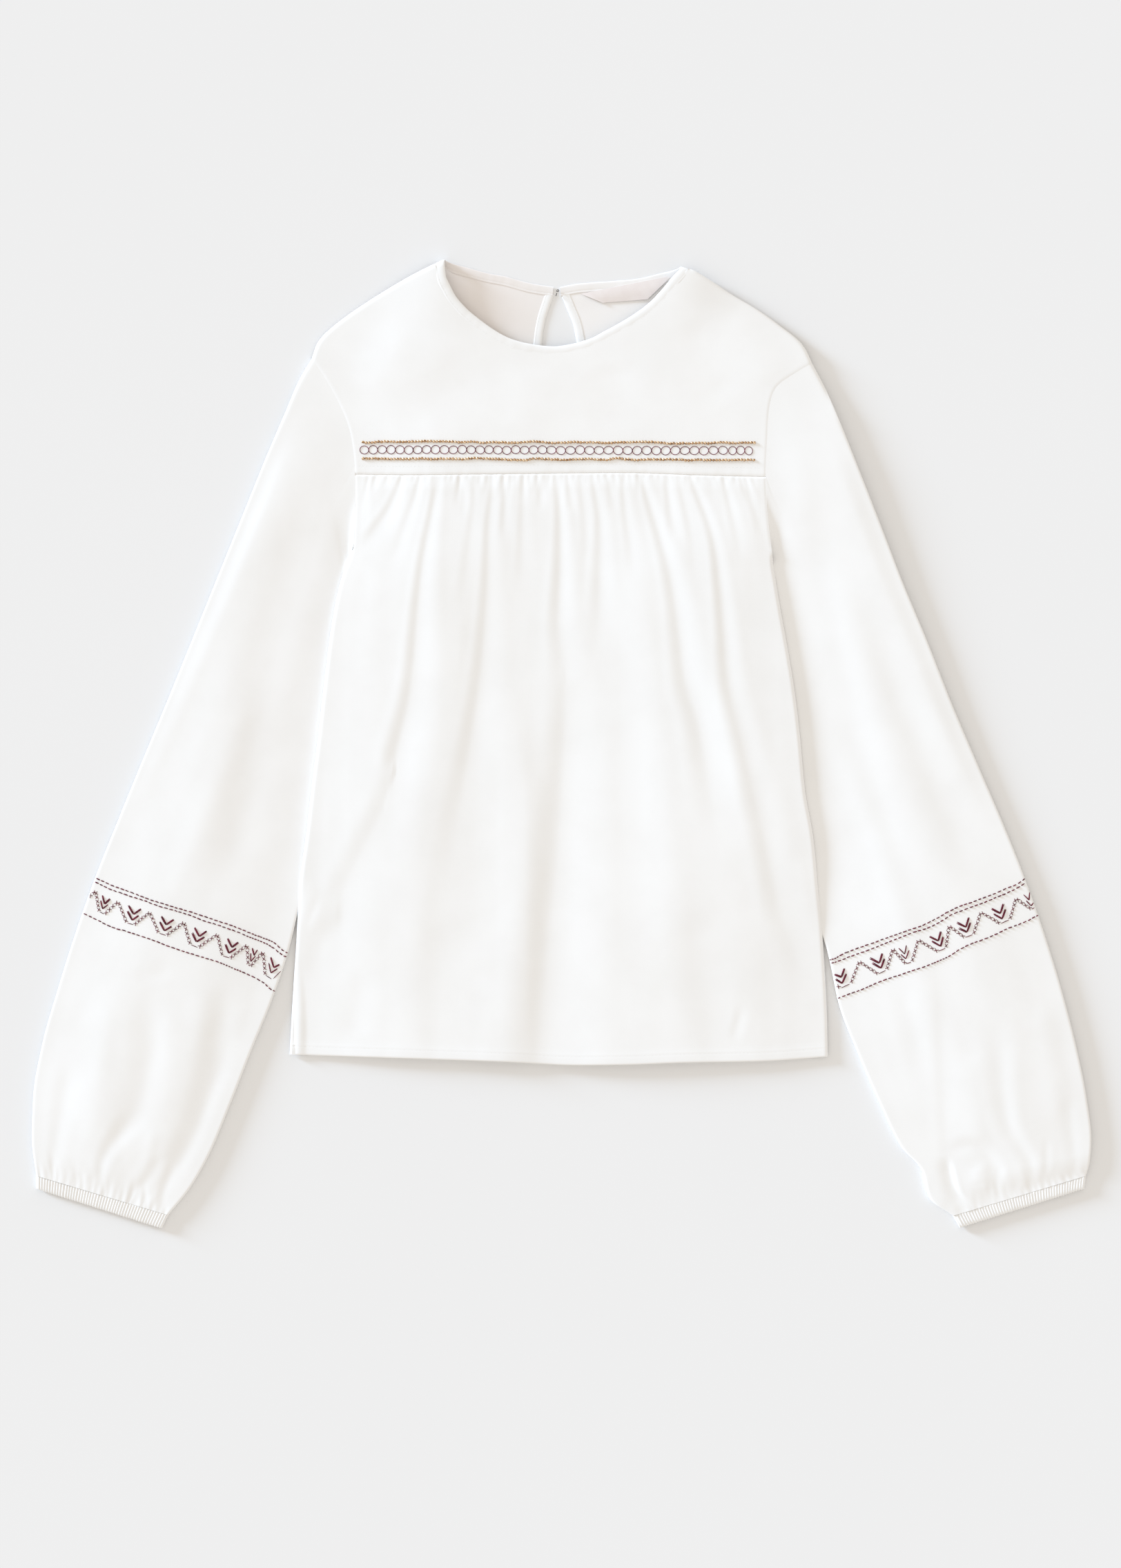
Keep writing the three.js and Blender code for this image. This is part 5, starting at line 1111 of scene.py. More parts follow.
    # at the armhole the sleeve starts at the body's height
    body = arm_dip(np.where(Y > seam_y(X), yoke_top(X, Y), front_nominal(X, Y)), X, Y)
    k = (1 - smooth(Q / np.array(run_k))) * (1 - np.array(tuck_k))
    ar_z = np.repeat(body[:1], len(st), axis=0)
    top = top * (1 - k) + (ar_z + 0.0) * k - 0.0
    c = D[..., 0]
    rise = roll(c)
    zc = np.array(mid_k)
    Zt = np.where(c > 0, zc + (np.maximum(top, zc + 0.25) - zc) * rise, top)
    flatten = 0.02 + 0.10 * (1 + noise(across, turned, 24, 60, seed + 5)) * smooth(np.minimum(across, 60) / 20)
    Zb = np.maximum(flatten, np.array(under_k)) * rise + zc * (1 - rise)
    Z = np.where(is_top, Zt, Zb)
    th = THICK
    in_x = X + D[..., 1] * c * th
    in_y = Y + D[..., 2] * c * th
    in_z = Z + np.where(is_top, -1, 1) * th * rise
    n = X.shape[1]
    K = len(st)
    verts = np.concatenate([np.dstack([X, Y, Z]).reshape(-1, 3), np.dstack([in_x, in_y, in_z]).reshape(-1, 3)])
    i = np.arange(K - 1)[:, None] * n + np.arange(n)[None, :]
    j = np.arange(K - 1)[:, None] * n + (np.arange(n)[None, :] + 1) % n
    outer = np.stack([i, i + n, j + n, j], axis=-1).reshape(-1, 4)
    inner = np.stack([i, j, j + n, i + n], axis=-1).reshape(-1, 4) + K * n
    a = np.arange(n)
    b = (a + 1) % n
    cap0 = np.stack([a, b, b + K * n, a + K * n], axis=-1)
    z0 = (K - 1) * n
    cap1 = np.stack([z0 + a, z0 + a + K * n, z0 + b + K * n, z0 + b], axis=-1)
    faces = np.concatenate([outer, inner, cap0, cap1])
    if table is SLEEVE_B:
        faces = faces[:, ::-1]
    return make_mesh(name, verts, faces, mat, sharp=65)


def cuff(name, table, mat, seed, flip):
    """Narrow elastic band: a flattened tube with close ribs and a scalloped free edge."""
    O0, I0, O1, I1 = [np.array(p, float) for p in ((table[0][0], table[0][1]), (table[0][2], table[0][3]), (table[1][0], table[1][1]), (table[1][2], table[1][3]))]
    g = np.random.default_rng(seed)
    n = 250
    f = np.linspace(0, 1, n)
    L = np.linalg.norm(I0 - O0)
    d = f * L
    edge = np.minimum(d, L - d)
    jitter = np.cumsum(g.normal(0, 0.035, n))
    phase = 2 * math.pi * (d / 2.15 + jitter * 0.6)
    strength = 0.75 + 0.25 * np.interp(d, np.linspace(0, L, 24), g.uniform(-1, 1, 24))
    rib = 0.5 + 0.5 * np.cos(phase)
    rows_v = np.array([-0.24, -0.12, -0.03, 0.03, 0.09, 0.17, 0.28, 0.42, 0.58, 0.72, 0.84, 0.93, 0.98, 1.0])
    zc, H = 2.0, CUFF_H
    rho = 2.4
    c = 1 - np.clip(edge / rho, 0, 1)
    rise = np.sqrt(np.maximum(1 - c * c, 0))
    top, low, top_in, low_in = [], [], [], []
    for v in rows_v:
        O, I = O0 + (O1 - O0) * v, I0 + (I1 - I0) * v
        p = O + f[:, None] * (I - O)
        down = (O1 - O0 + I1 - I0) / 2
        down = down / np.linalg.norm(down)
        p = p + down * (0.6 * v * abs(v) * rib[:, None] * strength[:, None] - 0.2 * v) + down * 0.25 * v * np.interp(d, np.linspace(0, L, 14), g.uniform(-1, 1, 14))[:, None] * 0
        vv = max(v, 0.0)
        body = math.sqrt(max(1 - vv ** 7, 0.06))
        hid = 1 - float(smooth((v + 0.12) / 0.10))
        zt = zc + (H - zc) * body * (1 - 0.6 * hid) + 0.55 * (rib - 0.5) * strength * (0.5 + 0.5 * body) * (1 - hid)
        zb = 0.35 + 0.8 * (1 - body) + 0.12 * (1 - rib) + 0.6 * hid
        zt = zc + (zt - zc) * rise
        zb = zc + (zb - zc) * rise
        top.append(np.column_stack([p, zt]))
        low.append(np.column_stack([p, zb]))
    top, low = np.array(top), np.array(low)
    ring = np.concatenate([top, low[:, 1:-1][:, ::-1]], axis=1)
    centre_z = 2.1
    inner = ring.copy()
    inner[..., 2] = centre_z + (ring[..., 2] - centre_z) * 0.55
    along = (I0 - O0) / L
    m = ring.shape[1]
    fr = np.concatenate([f, f[1:-1][::-1]])
    push = np.interp(fr, [0, 0.02, 0.98, 1], [0.9, 0, 0, -0.9])
    inner[..., 0] += push * along[0]
    inner[..., 1] += push * along[1]
    K = len(rows_v)
    verts = np.concatenate([ring.reshape(-1, 3), inner.reshape(-1, 3)])
    i = np.arange(K - 1)[:, None] * m + np.arange(m)[None, :]
    j = np.arange(K - 1)[:, None] * m + (np.arange(m)[None, :] + 1) % m
    outer = np.stack([i, i + m, j + m, j], axis=-1).reshape(-1, 4)
    inn = np.stack([i, j, j + m, i + m], axis=-1).reshape(-1, 4) + K * m
    a = np.arange(m)
    b = (a + 1) % m
    cap0 = np.stack([a, b, b + K * m, a + K * m], axis=-1)
    z0 = (K - 1) * m
    cap1 = np.stack([z0 + a, z0 + a + K * m, z0 + b + K * m, z0 + b], axis=-1)
    faces = np.concatenate([outer, inn, cap0, cap1])
    if flip:
        faces = faces[:, ::-1]
    return make_mesh(name, verts, faces, mat, sharp=0)


# ------------------------------------------------------------------ bindings
# section of a folded binding: distance in from its free edge, height as a share of the thickness
SECTION_TOP = [(0.0, .40), (.12, .56), (.45, .74), (1.1, .90), (2.1, 1.0), (3.4, 1.02), (4.6, .99), (5.15, .95), (5.5, .92), (5.85, .94), (6.4, .92), (6.9, .82), (7.2, .62)]
SECTION_LOW = [(7.2, .38), (6.9, .14), (6.4, .05), (5.85, .07), (5.5, .15), (5.15, .07), (4.0, 0.0), (2.0, 0.0), (.9, 0.0), (.35, .08), (.1, .26)]


def ribbon(name, edge, outer, normal, width, wall, mat, seed):
    """Folded strip along stations: its free edge, its sewn edge and its upward direction, at mid thickness."""
    g = np.random.default_rng(seed)
    n = len(edge)
    s = lengths(edge)
    sec = np.array(SECTION_TOP + SECTION_LOW)
    a = sec[:, 0] / 7.3
    h = (sec[:, 1] - 0.5) * wall
    puff = 1 + 0.10 * np.interp(s, np.arange(0, s[-1] + 4, 3.1), g.uniform(-1, 1, len(np.arange(0, s[-1] + 4, 3.1))))
    wav = 0.16 * np.interp(s, np.arange(0, s[-1] + 9, 7.3), g.uniform(-1, 1, len(np.arange(0, s[-1] + 9, 7.3))))
    dirn = outer - edge
    unit = dirn / np.linalg.norm(dirn, axis=1)[:, None]
    P = (edge[:, None, :] + dirn[:, None, :] * a[None, :, None]
         + unit[:, None, :] * (wav[:, None] * (1 - a)[None, :])[..., None]
         + normal[:, None, :] * (h[None, :] * puff[:, None])[..., None])
    m = len(sec)
    i = np.arange(n - 1)[:, None] * m + np.arange(m)[None, :]
    j = np.arange(n - 1)[:, None] * m + (np.arange(m)[None, :] + 1) % m
    faces = [np.stack([i, j, j + m, i + m], axis=-1).reshape(-1, 4)]
    verts = np.concatenate([P.reshape(-1, 3), P[0].mean(0)[None], P[-1].mean(0)[None]])
    q = np.arange(m)
    tri = [np.stack([np.full(m, n * m), (q + 1) % m, q], axis=-1),
           np.stack([np.full(m, n * m + 1), (n - 1) * m + q, (n - 1) * m + (q + 1) % m], axis=-1)]
    return make_mesh(name, verts, [faces[0], np.concatenate(tri)], mat, sharp=70)


def neck_stations():
    fe = curve(NECK_FRONT, 1.6)
    fo = offset(fe, -NECK_BAND)
    # ends at the neck points come from the fold
    be = curve(NECK_BACK, 1.6)
    bo = offset(be, -NECK_BAND)
    split = np.searchsorted(be[:, 0], -3.0)
    edge, outer, nrm = [], [], []

    def put(e, o, ze, zo, n):
        edge.append([e[0], e[1], ze])
        outer.append([o[0], o[1], zo])
        nrm.append(n)
    half = NECK_WALL / 2 + 0.08

    def lift_b(p):
        return BACK_LIFT * float(neck_lift(*p, 26.0)) + float(shoulder_lift(*p))

    def back_run(idx):
        for i in idx:
            put(be[i], bo[i], half + lift_b(be[i]), half + lift_b(bo[i]), (0, 0, -1.0))

    def fold(e0, o0, e1, o1, z1, T, rising):
        """Half a turn over the fold at a neck point, from the back layer up to the front one."""
        r = 1.5
        steps = 9
        for k in range(steps + 1):
            w = k / steps if rising else 1 - k / steps
            phi = math.pi * w
            e = np.array(e0) * (1 - w) + np.array(e1) * w + np.array(T) * r * math.sin(phi)
            o = np.array(o0) * (1 - w) + np.array(o1) * w + np.array(T) * r * math.sin(phi)
            z0 = half + lift_b(e0)
            z = z0 + (z1 - z0) * (1 - math.cos(phi)) / 2
            put(e, o, z, z, (T[0] * math.sin(phi), T[1] * math.sin(phi), -math.cos(phi)))
    keep_l = [i for i in range(split - 1, -1, -1) if be[i, 0] > -82 and be[i, 0] < -4.4]
    back_run(keep_l)
    z_l = float(front_nominal(-92.0, 356.0)) - 0.5
    z_r = float(front_nominal(95.0, 354.0)) - 0.5
    fold((-86.0, 363.5), (-92.6, 360.8), (-87.8, 363.1), (-95.0, 360.0), z_l, (-0.25, 0.97), True)
    keep = [i for i in range(len(fe)) if -87.6 < fe[i, 0] < 89.0]
    zf = front_nominal(fo[:, 0], fo[:, 1])
    ze = front_nominal(fe[:, 0], fe[:, 1])
    for i in keep:
        w = min(1.0, min(i - keep[0], keep[-1] - i) / 6.0)
        z = (z_l if fe[i, 0] < 0 else z_r) * (1 - w) + (0.5 * (zf[i] + ze[i]) - 0.52) * w
        put(fe[i], fo[i], z + 0.1 * w, z, (0, 0, 1.0))
    fold((87.8, 358.0), (94.6, 355.4), (89.6, 357.8), (96.8, 355.6), z_r, (0.42, 0.9), False)
    keep_r = [i for i in range(len(be) - 1, split, -1) if be[i, 0] < 83 and be[i, 0] > -1.4]
    back_run(keep_r)
    return np.array(edge), np.array(outer), np.array(nrm, float)


def neck_binding():
    e, o, n = neck_stations()
    # even out the steps where runs meet
    for _ in range(2):
        for a in (e, o):
            a[1:-1] = 0.25 * a[:-2] + 0.5 * a[1:-1] + 0.25 * a[2:]
    return ribbon("neck_band", e, o, n, NECK_BAND, NECK_WALL, BAND, 51)


def keyhole_binding():
    e = keyhole_line(0, 1.2)
    o = offset(e, -SLIT_BAND)
    z = np.full(len(e), SLIT_WALL / 2 + 0.08)
    up = np.repeat([[0, 0, 1.0]], len(e), axis=0)
    return ribbon("keyhole_band", np.column_stack([e, z]), np.column_stack([o, z]), up, SLIT_BAND, SLIT_WALL, BINDING, 52)


# ------------------------------------------------------------------ neck label, blank
def label():
    a, b = np.array([14.6, 339.6]), np.array([83.4, 353.2])
    c, d = np.array([31.1, 332.8]), np.array([64.9, 335.4])
    us, vs = np.linspace(0, 1, 60), np.linspace(0, 1, 22)
    U, V = np.meshgrid(us, vs)
    T = a + (b - a) * U[..., None]
    B = c + (d - c) * U[..., None]
    P = T * (1 - V[..., None]) + B * V[..., None]
    X, Y = P[..., 0], P[..., 1]
    lift = 0.35 + 0.8 * np.sin(np.pi * np.clip(V, 0, 1)) * 0.5 + 0.9 * np.exp(-(U / 0.05) ** 2) * V
    Z = 1.15 + lift + 0.25 * smooth((U - 0.6) / 0.4) * V
    return grid_shell("label_cloth", np.dstack([X, Y, Z]), 0.35, TAPE, sharp=50)


# ------------------------------------------------------------------ hook at the top of the keyhole
def hook():
    bag = Bag()
    p = curve([(-3.6, 341.6, 2.0), (-2.9, 342.5, 2.35), (-2.0, 342.3, 2.5), (-1.9, 341.5, 2.4), (-2.7, 341.2, 2.2), (-3.6, 341.3, 2.1)], 0.25)
    bag.tube(p, 0.24, 8)
    q = curve([(-3.4, 340.0, 2.0), (-3.7, 339.0, 2.3), (-4.2, 337.9, 2.0)], 0.25)
    bag.tube(q, 0.27, 8)
    return bag.build("hook_wire", HOOK)


yoke_cloth, front_cloth, back_cloth = yoke(), front(), back()
sleeve_a = sleeve("sleeve_cloth_right", SLEEVE_A, arm_a, SLEEVE_FOLDS_A, COTTON_RIGHT, 61)
sleeve_b = sleeve("sleeve_cloth_left", SLEEVE_B, arm_b, SLEEVE_FOLDS_B, COTTON_LEFT, 71)
cuff_a, cuff_b = cuff("cuff_band_right", CUFF_A, BINDING, 81, False), cuff("cuff_band_left", CUFF_B, BINDING, 82, True)
band, slit_band, tape, wire = neck_binding(), keyhole_binding(), label(), hook()

# ------------------------------------------------------------------ embroidery
on_yoke, on_a, on_b = surface_of(yoke_cloth), surface_of(sleeve_a), surface_of(sleeve_b)


def lay(surf, p, q, radius, arch=0.32, steps=5, sink=0.25):
    """Points of one stitch from p to q lying on the cloth, its ends going down into it."""
    f = np.linspace(0, 1, steps + 1)
    out = []
    for w in f:
        x, y = p[0] + (q[0] - p[0]) * w, p[1] + (q[1] - p[1]) * w
        z, _ = surf(x, y)
        if z is not None:
            out.append((x, y, z))
    if len(out) < 3:
        return None
    out = np.array(out)
    f = np.linspace(0, 1, len(out))
    out[:, 2] = np.convolve(np.pad(out[:, 2], 1, mode="edge"), [0.25, 0.5, 0.25], mode="valid")
    out[:, 2] += -sink + (radius + arch) * np.sin(np.pi * f) ** 0.6
    return out


def stitch(bag, surf, p, q, radius, arch=0.3, steps=5, flat=0.8, sides=6):
    line = lay(surf, p, q, radius, arch, steps)
    if line is not None:
        r = radius * (0.72 + 0.28 * np.sin(np.pi * np.linspace(0, 1, len(line))) ** 0.5)
        bag.tube(line, r, sides, flat)


MOTIF_A = dict(
    lines=[[(-350.0, -100.5), (-337.1, -106.4), (-322.4, -111.5), (-311.1, -116.0), (-298.7, -119.9), (-289.7, -122.7), (-280.7, -125.2), (-269.4, -128.9), (-260.4, -132.0), (-249.1, -135.7), (-237.8, -140.2), (-226.6, -144.7), (-216.4, -148.9), (-209.7, -154.9), (-205.7, -156.9)],
           [(-351.2, -103.2), (-338.2, -109.2), (-325.8, -113.5), (-314.5, -117.1), (-303.2, -121.3), (-292.0, -124.4), (-280.7, -127.8), (-269.4, -132.3), (-258.1, -135.7), (-246.9, -139.7), (-235.6, -144.4), (-224.3, -148.7), (-216.4, -153.2), (-210.8, -158.0), (-206.8, -159.7)],
           [(-359.8, -126.7), (-350.6, -131.2), (-339.3, -136.8), (-328.0, -140.2), (-316.8, -143.8), (-305.5, -147.6), (-294.2, -152.1), (-280.7, -156.6), (-269.4, -160.0), (-258.1, -163.6), (-246.9, -168.2), (-235.6, -172.9), (-224.3, -179.1), (-218.7, -184.2), (-215.3, -185.7)]],
    dense=[(0.78, 0.90), (0.78, 0.90), (0.70, 0.80)],
    legs=[(-355.7, -114.9, -350.3, -110.3), (-350.3, -110.3, -347.6, -125.6), (-343.8, -127.8, -333.3, -118.2), (-333.3, -118.2, -326.9, -134.0),
          (-321.3, -135.7, -309.4, -126.1), (-309.4, -126.1, -302.9, -141.7), (-297.0, -143.6, -283.8, -133.8), (-283.8, -133.8, -279.0, -150.4),
          (-273.0, -152.6, -258.7, -142.8), (-258.7, -142.8, -255.0, -158.8), (-249.3, -160.7, -236.4, -150.9), (-236.4, -150.9, -235.6, -165.6),
          (-233.9, -166.9, -224.5, -156.2), (-224.5, -156.2, -222.8, -173.3)],
    links=[(-347.6, -125.6, -343.8, -127.8), (-326.9, -134.0, -321.3, -135.7), (-302.9, -141.7, -297.0, -143.6), (-279.0, -150.4, -273.0, -152.6),
           (-255.0, -158.8, -249.3, -160.7), (-235.6, -165.6, -233.9, -166.9), (-222.8, -173.3, -217.5, -176.6), (-217.5, -176.6, -209.7, -169.0)],
    vees=[[(-345.2, -113.2), (-343.5, -119.9), (-339.3, -115.8), 1], [(-325.5, -120.8), (-321.6, -127.6), (-315.9, -123.6), 1],
          [(-300.8, -128.9), (-297.0, -135.4), (-291.1, -131.5), 1], [(-275.8, -137.4), (-272.2, -144.2), (-266.6, -140.2), 1],
          [(-251.0, -145.6), (-247.8, -152.4), (-242.7, -148.7), 1], [(-232.4, -152.8), (-231.1, -158.8), (-228.6, -154.3), .6],
          [(-218.7, -159.7), (-216.4, -167.8), (-211.9, -165.4), .8],
          [(-346.6, -117.1), (-345.0, -123.6), (-340.8, -120.3), .7], [(-326.4, -125.0), (-322.7, -132.0), (-317.6, -128.4), .9],
          [(-302.1, -132.9), (-298.4, -139.9), (-292.8, -136.5), .9], [(-277.6, -141.3), (-274.3, -148.3), (-268.1, -144.7), .9],
          [(-252.7, -149.8), (-250.0, -156.9), (-244.4, -153.2), .9], [(-233.7, -156.6), (-233.6, -163.1), (-230.0, -158.8), .6],
          [(-220.1, -164.2), (-218.5, -171.8), (-213.4, -168.4), .7]])
MOTIF_B = dict(
    lines=[[(200.9, -162.2), (205.4, -161.1), (211.0, -157.9), (224.5, -152.6), (235.8, -148.7), (244.8, -145.3), (253.9, -142.1), (264.0, -138.5), (271.9, -135.7), (278.7, -132.3), (285.4, -128.9), (292.2, -125.0), (299.0, -121.8), (308.0, -118.8), (317.0, -115.4), (326.0, -112.0), (335.0, -107.9), (341.8, -105.6), (348.6, -100.8)],
           [(201.4, -165.0), (208.8, -162.8), (218.9, -158.8), (230.2, -154.9), (241.4, -150.4), (252.7, -145.9), (264.0, -141.3), (275.3, -138.0), (286.5, -132.3), (292.2, -128.4), (303.5, -123.9), (314.7, -119.9), (326.0, -115.4), (337.3, -110.6), (346.3, -105.8), (349.7, -103.0)],
           [(206.5, -191.7), (215.5, -187.9), (224.5, -184.8), (235.8, -180.0), (244.8, -176.3), (253.9, -173.5), (264.0, -169.9), (275.3, -166.2), (283.2, -162.8), (292.2, -158.8), (299.0, -154.3), (308.0, -149.8), (317.0, -146.6), (326.0, -143.0), (335.0, -138.5), (342.9, -135.7), (351.9, -131.8), (359.3, -127.8)]],
    dense=[(0.0, 0.05), (0.0, 0.04), (0.45, 0.53)],
    legs=[(217.8, -179.7, 224.0, -163.3), (224.0, -163.3, 238.3, -172.6), (244.6, -169.5, 249.1, -153.8), (249.1, -153.8, 258.9, -165.0),
          (263.4, -163.3, 268.3, -147.0), (268.3, -147.0, 283.2, -155.8), (289.1, -153.0, 291.4, -136.3), (291.4, -136.3, 303.2, -145.1),
          (309.7, -142.8, 315.3, -126.1), (315.3, -126.1, 330.0, -134.6), (337.3, -131.5, 341.8, -115.8), (341.8, -115.8, 353.6, -123.9),
          (206.9, -181.0, 209.9, -183.2)],
    links=[(209.9, -183.4, 217.8, -179.7), (238.3, -172.6, 244.6, -169.5), (258.9, -165.0, 263.4, -163.3), (283.2, -155.8, 289.1, -153.0),
           (303.2, -145.1, 309.7, -142.8), (330.0, -134.6, 337.3, -131.5), (353.6, -123.9, 355.9, -122.7)],
    vees=[[(205.4, -172.9), (210.7, -174.8), (213.0, -168.1), 1], [(231.9, -160.5), (239.2, -164.2), (241.4, -156.9), 1],
          [(253.6, -153.0), (258.0, -157.7), (259.5, -150.7), .6], [(276.6, -144.2), (283.2, -147.6), (285.4, -140.2), 1],
          [(297.0, -133.7), (304.0, -137.2), (306.3, -129.8), 1], [(323.2, -123.3), (330.0, -126.9), (332.4, -119.6), 1],
          [(347.4, -112.8), (351.7, -117.1), (352.2, -110.9), .6],
          [(206.2, -176.5), (211.3, -179.7), (214.6, -172.1), .9], [(233.6, -164.2), (240.3, -168.2), (243.1, -160.9), .9],
          [(255.0, -157.7), (258.9, -161.1), (261.5, -154.3), .6], [(278.4, -147.8), (285.2, -151.7), (287.2, -144.2), .9],
          [(298.6, -138.0), (304.9, -141.0), (307.6, -133.7), .9], [(324.9, -127.3), (331.3, -131.0), (334.1, -123.6), .9],
          [(349.5, -117.3), (353.3, -121.3), (355.3, -118.5), .6]])


def band_stitches(name, motif, surf, seed):
    g = np.random.default_rng(seed)
    bag = Bag()
    j = lambda p, a=0.14: (p[0] + g.normal(0, a), p[1] + g.normal(0, a))
    for line, (d0, d1) in zip(motif["lines"], motif["dense"]):
        c = curve(line, 0.4)
        s = lengths(c)
        at = lambda q: np.array([np.interp(q, s, c[:, 0]), np.interp(q, s, c[:, 1])])
        q = g.uniform(0, 0.8)
        while q < s[-1] - 1.2:
            tight = d0 <= q / s[-1] <= d1
            run = g.normal(1.6, 0.12) if tight else g.normal(2.9, 0.26)
            gap = g.normal(0.6, 0.08) if tight else g.normal(1.0, 0.16)
            e = min(q + max(run, 1.0), s[-1])
            stitch(bag, surf, j(at(q), .1), j(at(e), .1), 0.43 * g.uniform(0.88, 1.08), arch=0.2)
            q = e + max(gap, 0.35)
    for x0, y0, x1, y1 in motif["legs"]:
        a, b = np.array([x0, y0]), np.array([x1, y1])
        L = np.linalg.norm(b - a)
        t = (b - a) / L
        nrm = np.array([-t[1], t[0]])
        n = max(1, int(round(L / 3.3)))
        w = 1.42
        for k in range(n):
            p, q = a + t * L * k / n, a + t * L * (k + 1) / n
            m = g.uniform(0.88, 1.12)
            stitch(bag, surf, j(p + nrm * w * m, .1), j(q - nrm * w * m, .1), 0.25, arch=0.14, steps=4)
            stitch(bag, surf, j(p - nrm * w * m, .1), j(q + nrm * w * m, .1), 0.25, arch=0.34, steps=4)
    for x0, y0, x1, y1 in motif["links"]:
        stitch(bag, surf, j((x0, y0)), j((x1, y1)), 0.27, arch=0.12, steps=5)
    for p, q, r, k in motif["vees"]:
        for e0, e1 in ((p, q), (r, q)):
            a, b = np.array(e0), np.array(e1)
            t = (b - a) / np.linalg.norm(b - a)
            nrm = np.array([-t[1], t[0]])
            strands = (-0.40, 0.40) if k > .75 else (-0.2, 0.2)
            for o in strands:
                stitch(bag, surf, j(a + nrm * o * k, .08), j(b + nrm * o * k * .8 + t * .25, .08), 0.42 * (0.6 + 0.4 * k), arch=0.2, steps=5)
    return bag.build(name, BURGUNDY)


stitches_a = band_stitches("embroidery_right", MOTIF_A, on_a, 91)
stitches_b = band_stitches("embroidery_left", MOTIF_B, on_b, 92)


# ------------------------------------------------------------------ beads and rings on the yoke
def trims():
    g = np.random.default_rng(101)
    beads, rings, core = Bag(), Bag(), Bag()
    for y0, y1, wob in ((227.8, 226.7, 7), (215.3, 213.9, 8)):
        x = -149.2
        line = []
        drift = g.normal(0, 0.35, 40)
        knots = np.linspace(-152, 150, 40)
        while x < 146.2:
            pitch = g.normal(2.34, 0.07)
            y = y0 + (y1 - y0) * (x + 149) / 295 + np.interp(x, knots, drift) + g.normal(0, 0.10)
            z, n = on_yoke(x, y)
            if z is not None:
                beads.bead((x, y, z + 0.38), 1.03 * g.uniform(.92, 1.06), 1.0 * g.uniform(.9, 1.08), 0.64, g.normal(0, 0.14), g.normal(0, 0.12), power=3.4)
                line.append((x, y, z + 0.10))
            x += pitch
        core.tube(np.array(line) + [0, 0, 0.1], 0.36, 6)
    x, k = -148.3, 0
    while k < 43:
        y = 221.8 + (221.0 - 221.8) * (x + 148.3) / 291 + g.normal(0, 0.12)
        step = 6.7 if k < 21 else (7.17 if k < 40 else 6.1)
        rx, ry = (0.5 * step - 0.08) * g.uniform(.985, 1.02), 3.1 * g.uniform(.95, 1.04)
        rings.ring((x, y), rx, ry, g.normal(0, 0.12), 0.25, on_yoke, sides=6, steps=30, lift=0.12, wob=g.uniform(0, 0.035), phase=g.uniform(0, 6))
        x += step
        k += 1
    return beads.build("beads", GOLD), rings.build("rings", PLUM), core.build("bead_cord", BROWN)


beads, rings, bead_cord = trims()


# ------------------------------------------------------------------ sewing stitches
def run_of_stitches(bag, surf, line, pitch, length, radius, seed):
    g = np.random.default_rng(seed)
    s = lengths(line)
    q = 0.6
    while q < s[-1] - length:
        a = (np.interp(q, s, line[:, 0]), np.interp(q, s, line[:, 1]))
        b = (np.interp(q + length, s, line[:, 0]), np.interp(q + length, s, line[:, 1]))
        z0, _ = surf(*a)
        z1, _ = surf(*b)
        if z0 is not None and z1 is not None and abs(z0 - z1) < 0.9:
            f = np.linspace(0, 1, 4)
            p = np.column_stack([a[0] + (b[0] - a[0]) * f, a[1] + (b[1] - a[1]) * f, z0 + (z1 - z0) * f + np.array([-.16, -.03, -.03, -.16])])
            bag.tube(p, radius, 5, 0.8)
        q += pitch * g.uniform(0.94, 1.06)


def sewing():
    bag = Bag()
    on_band, on_slit, on_front = surface_of(band), surface_of(slit_band), surface_of(front_cloth)
    fe = curve(NECK_FRONT, 1.0)
    run_of_stitches(bag, on_band, offset(fe, -5.5)[8:-8], 2.6, 1.8, 0.13, 1)
    be = curve(NECK_BACK, 1.0)
    bo = offset(be, -5.5)
    run_of_stitches(bag, on_band, bo[(bo[:, 0] > -84) & (bo[:, 0] < -7)], 2.6, 1.8, 0.13, 2)
    run_of_stitches(bag, on_band, bo[(bo[:, 0] > 2) & (bo[:, 0] < 86)], 2.6, 1.8, 0.13, 3)
    k = keyhole_line(4.85)
    run_of_stitches(bag, on_slit, k[(k[:, 1] < NECK_Y - 9)], 2.6, 1.8, 0.13, 4)
    xs = np.linspace(-198, 194, 400)
    run_of_stitches(bag, on_front, np.stack([xs, hem_y(xs) + 6.6], axis=1), 3.0, 2.0, 0.13, 5)
    xs = np.linspace(-154, 152, 320)
    run_of_stitches(bag, on_yoke, np.stack([xs, seam_y(xs) + 6.0], axis=1), 2.8, 1.9, 0.12, 6)
    return bag.build("sewing_stitches", SEWING)


stitched = sewing()

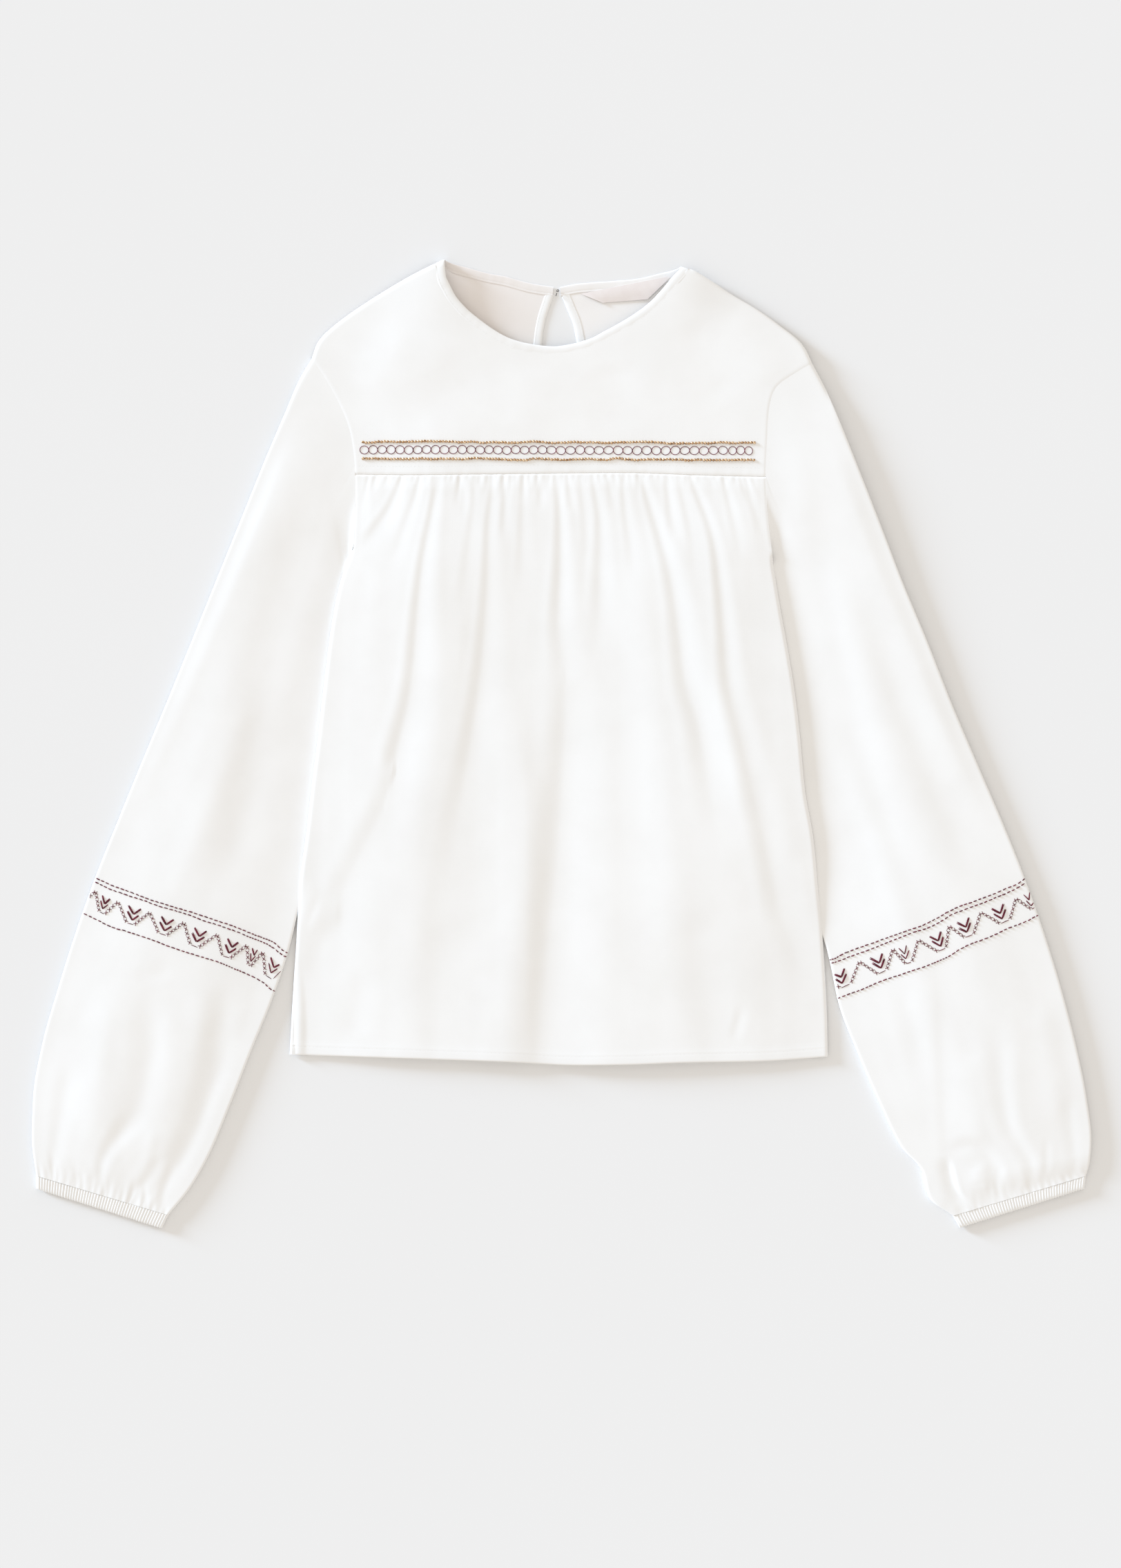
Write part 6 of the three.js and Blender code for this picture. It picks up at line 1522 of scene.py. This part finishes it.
# ------------------------------------------------------------------ frame
WHOLE = [(yoke_cloth, "front_yoke", "cotton_jersey"), (front_cloth, "front_panel", "cotton_jersey"),
         (back_cloth, "back_panel", "cotton_jersey"), (sleeve_a, "sleeve_right", "cotton_jersey"),
         (sleeve_b, "sleeve_left", "cotton_jersey"), (cuff_a, "cuff_right", "cotton_jersey"),
         (cuff_b, "cuff_left", "cotton_jersey"), (band, "neck_binding", "binding_jersey"),
         (slit_band, "keyhole_binding", "binding_jersey"), (tape, "neck_label", "label_tape"),
         (wire, "neck_hook", "hook_metal")]
for obj, node_name, slot_name in WHOLE:
    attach(obj, "root")
    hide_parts(node_name)
for obj, slot_name in ((stitches_a, "embroidery_thread"), (stitches_b, "embroidery_thread"), (rings, "embroidery_thread"),
                       (beads, "bead_gold"), (bead_cord, "embroidery_thread"), (stitched, "binding_jersey")):
    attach(obj, "root")

# ------------------------------------------------------------------ floor, light and camera
def stage():
    me = bpy.data.meshes.new("floor")
    s = 6.0
    me.from_pydata([(-s, -s, 0), (s, -s, 0), (s, s, 0), (-s, s, 0)], [], [(0, 1, 2, 3)])
    m, nt, b = material("floor_paper")
    tc = node(nt, "ShaderNodeTexCoord")
    n = node(nt, "ShaderNodeTexNoise", Scale=3.0, Detail=2.0)
    nt.links.new(tc.outputs["Object"], n.inputs["Vector"])
    nt.links.new(ramp(nt, n.outputs["Fac"], [(0.3, (0.838, 0.838, 0.838)), (0.7, (0.842, 0.842, 0.842))]), b.inputs["Base Color"])
    b.inputs["Roughness"].default_value = 1.0
    b.inputs["Specular IOR Level"].default_value = 0.0
    me.materials.append(m)
    o = bpy.data.objects.new("floor", me)
    bpy.context.scene.collection.objects.link(o)


stage()
scene = bpy.context.scene
scene.view_settings.view_transform = "Standard"
scene.view_settings.look = "None"
scene.view_settings.exposure = 0.0
scene.view_settings.gamma = 1.0

SUN_UP, SUN_FROM = 9.5, (-0.88, 0.47)
sun = bpy.data.lights.new("key", "SUN")
sun.energy = 4.717
sun.angle = math.radians(12)
sun.color = (0.624, 0.790, 1.0)
so = bpy.data.objects.new("key", sun)
h = math.hypot(*SUN_FROM)
up = math.radians(SUN_UP)
to_light = Vector((SUN_FROM[0] / h * math.cos(up), SUN_FROM[1] / h * math.cos(up), math.sin(up)))
so.rotation_euler = to_light.to_track_quat("Z", "Y").to_euler()
so.location = to_light * 3
scene.collection.objects.link(so)

world = bpy.data.worlds.new("world")
scene.world = world
world.use_nodes = True
bg = world.node_tree.nodes["Background"]
bg.inputs["Color"].default_value = (1.0, 0.953, 0.895, 1)
bg.inputs["Strength"].default_value = 0.8755

cam = bpy.data.cameras.new("camera")
cam.lens, cam.sensor_width = 85, 36
cam.clip_start, cam.clip_end = 0.1, 20
co = bpy.data.objects.new("camera", cam)
co.location = (-0.00065, -0.02964, 2.790)
co.rotation_euler = (0, 0, 0)
scene.collection.objects.link(co)
scene.camera = co
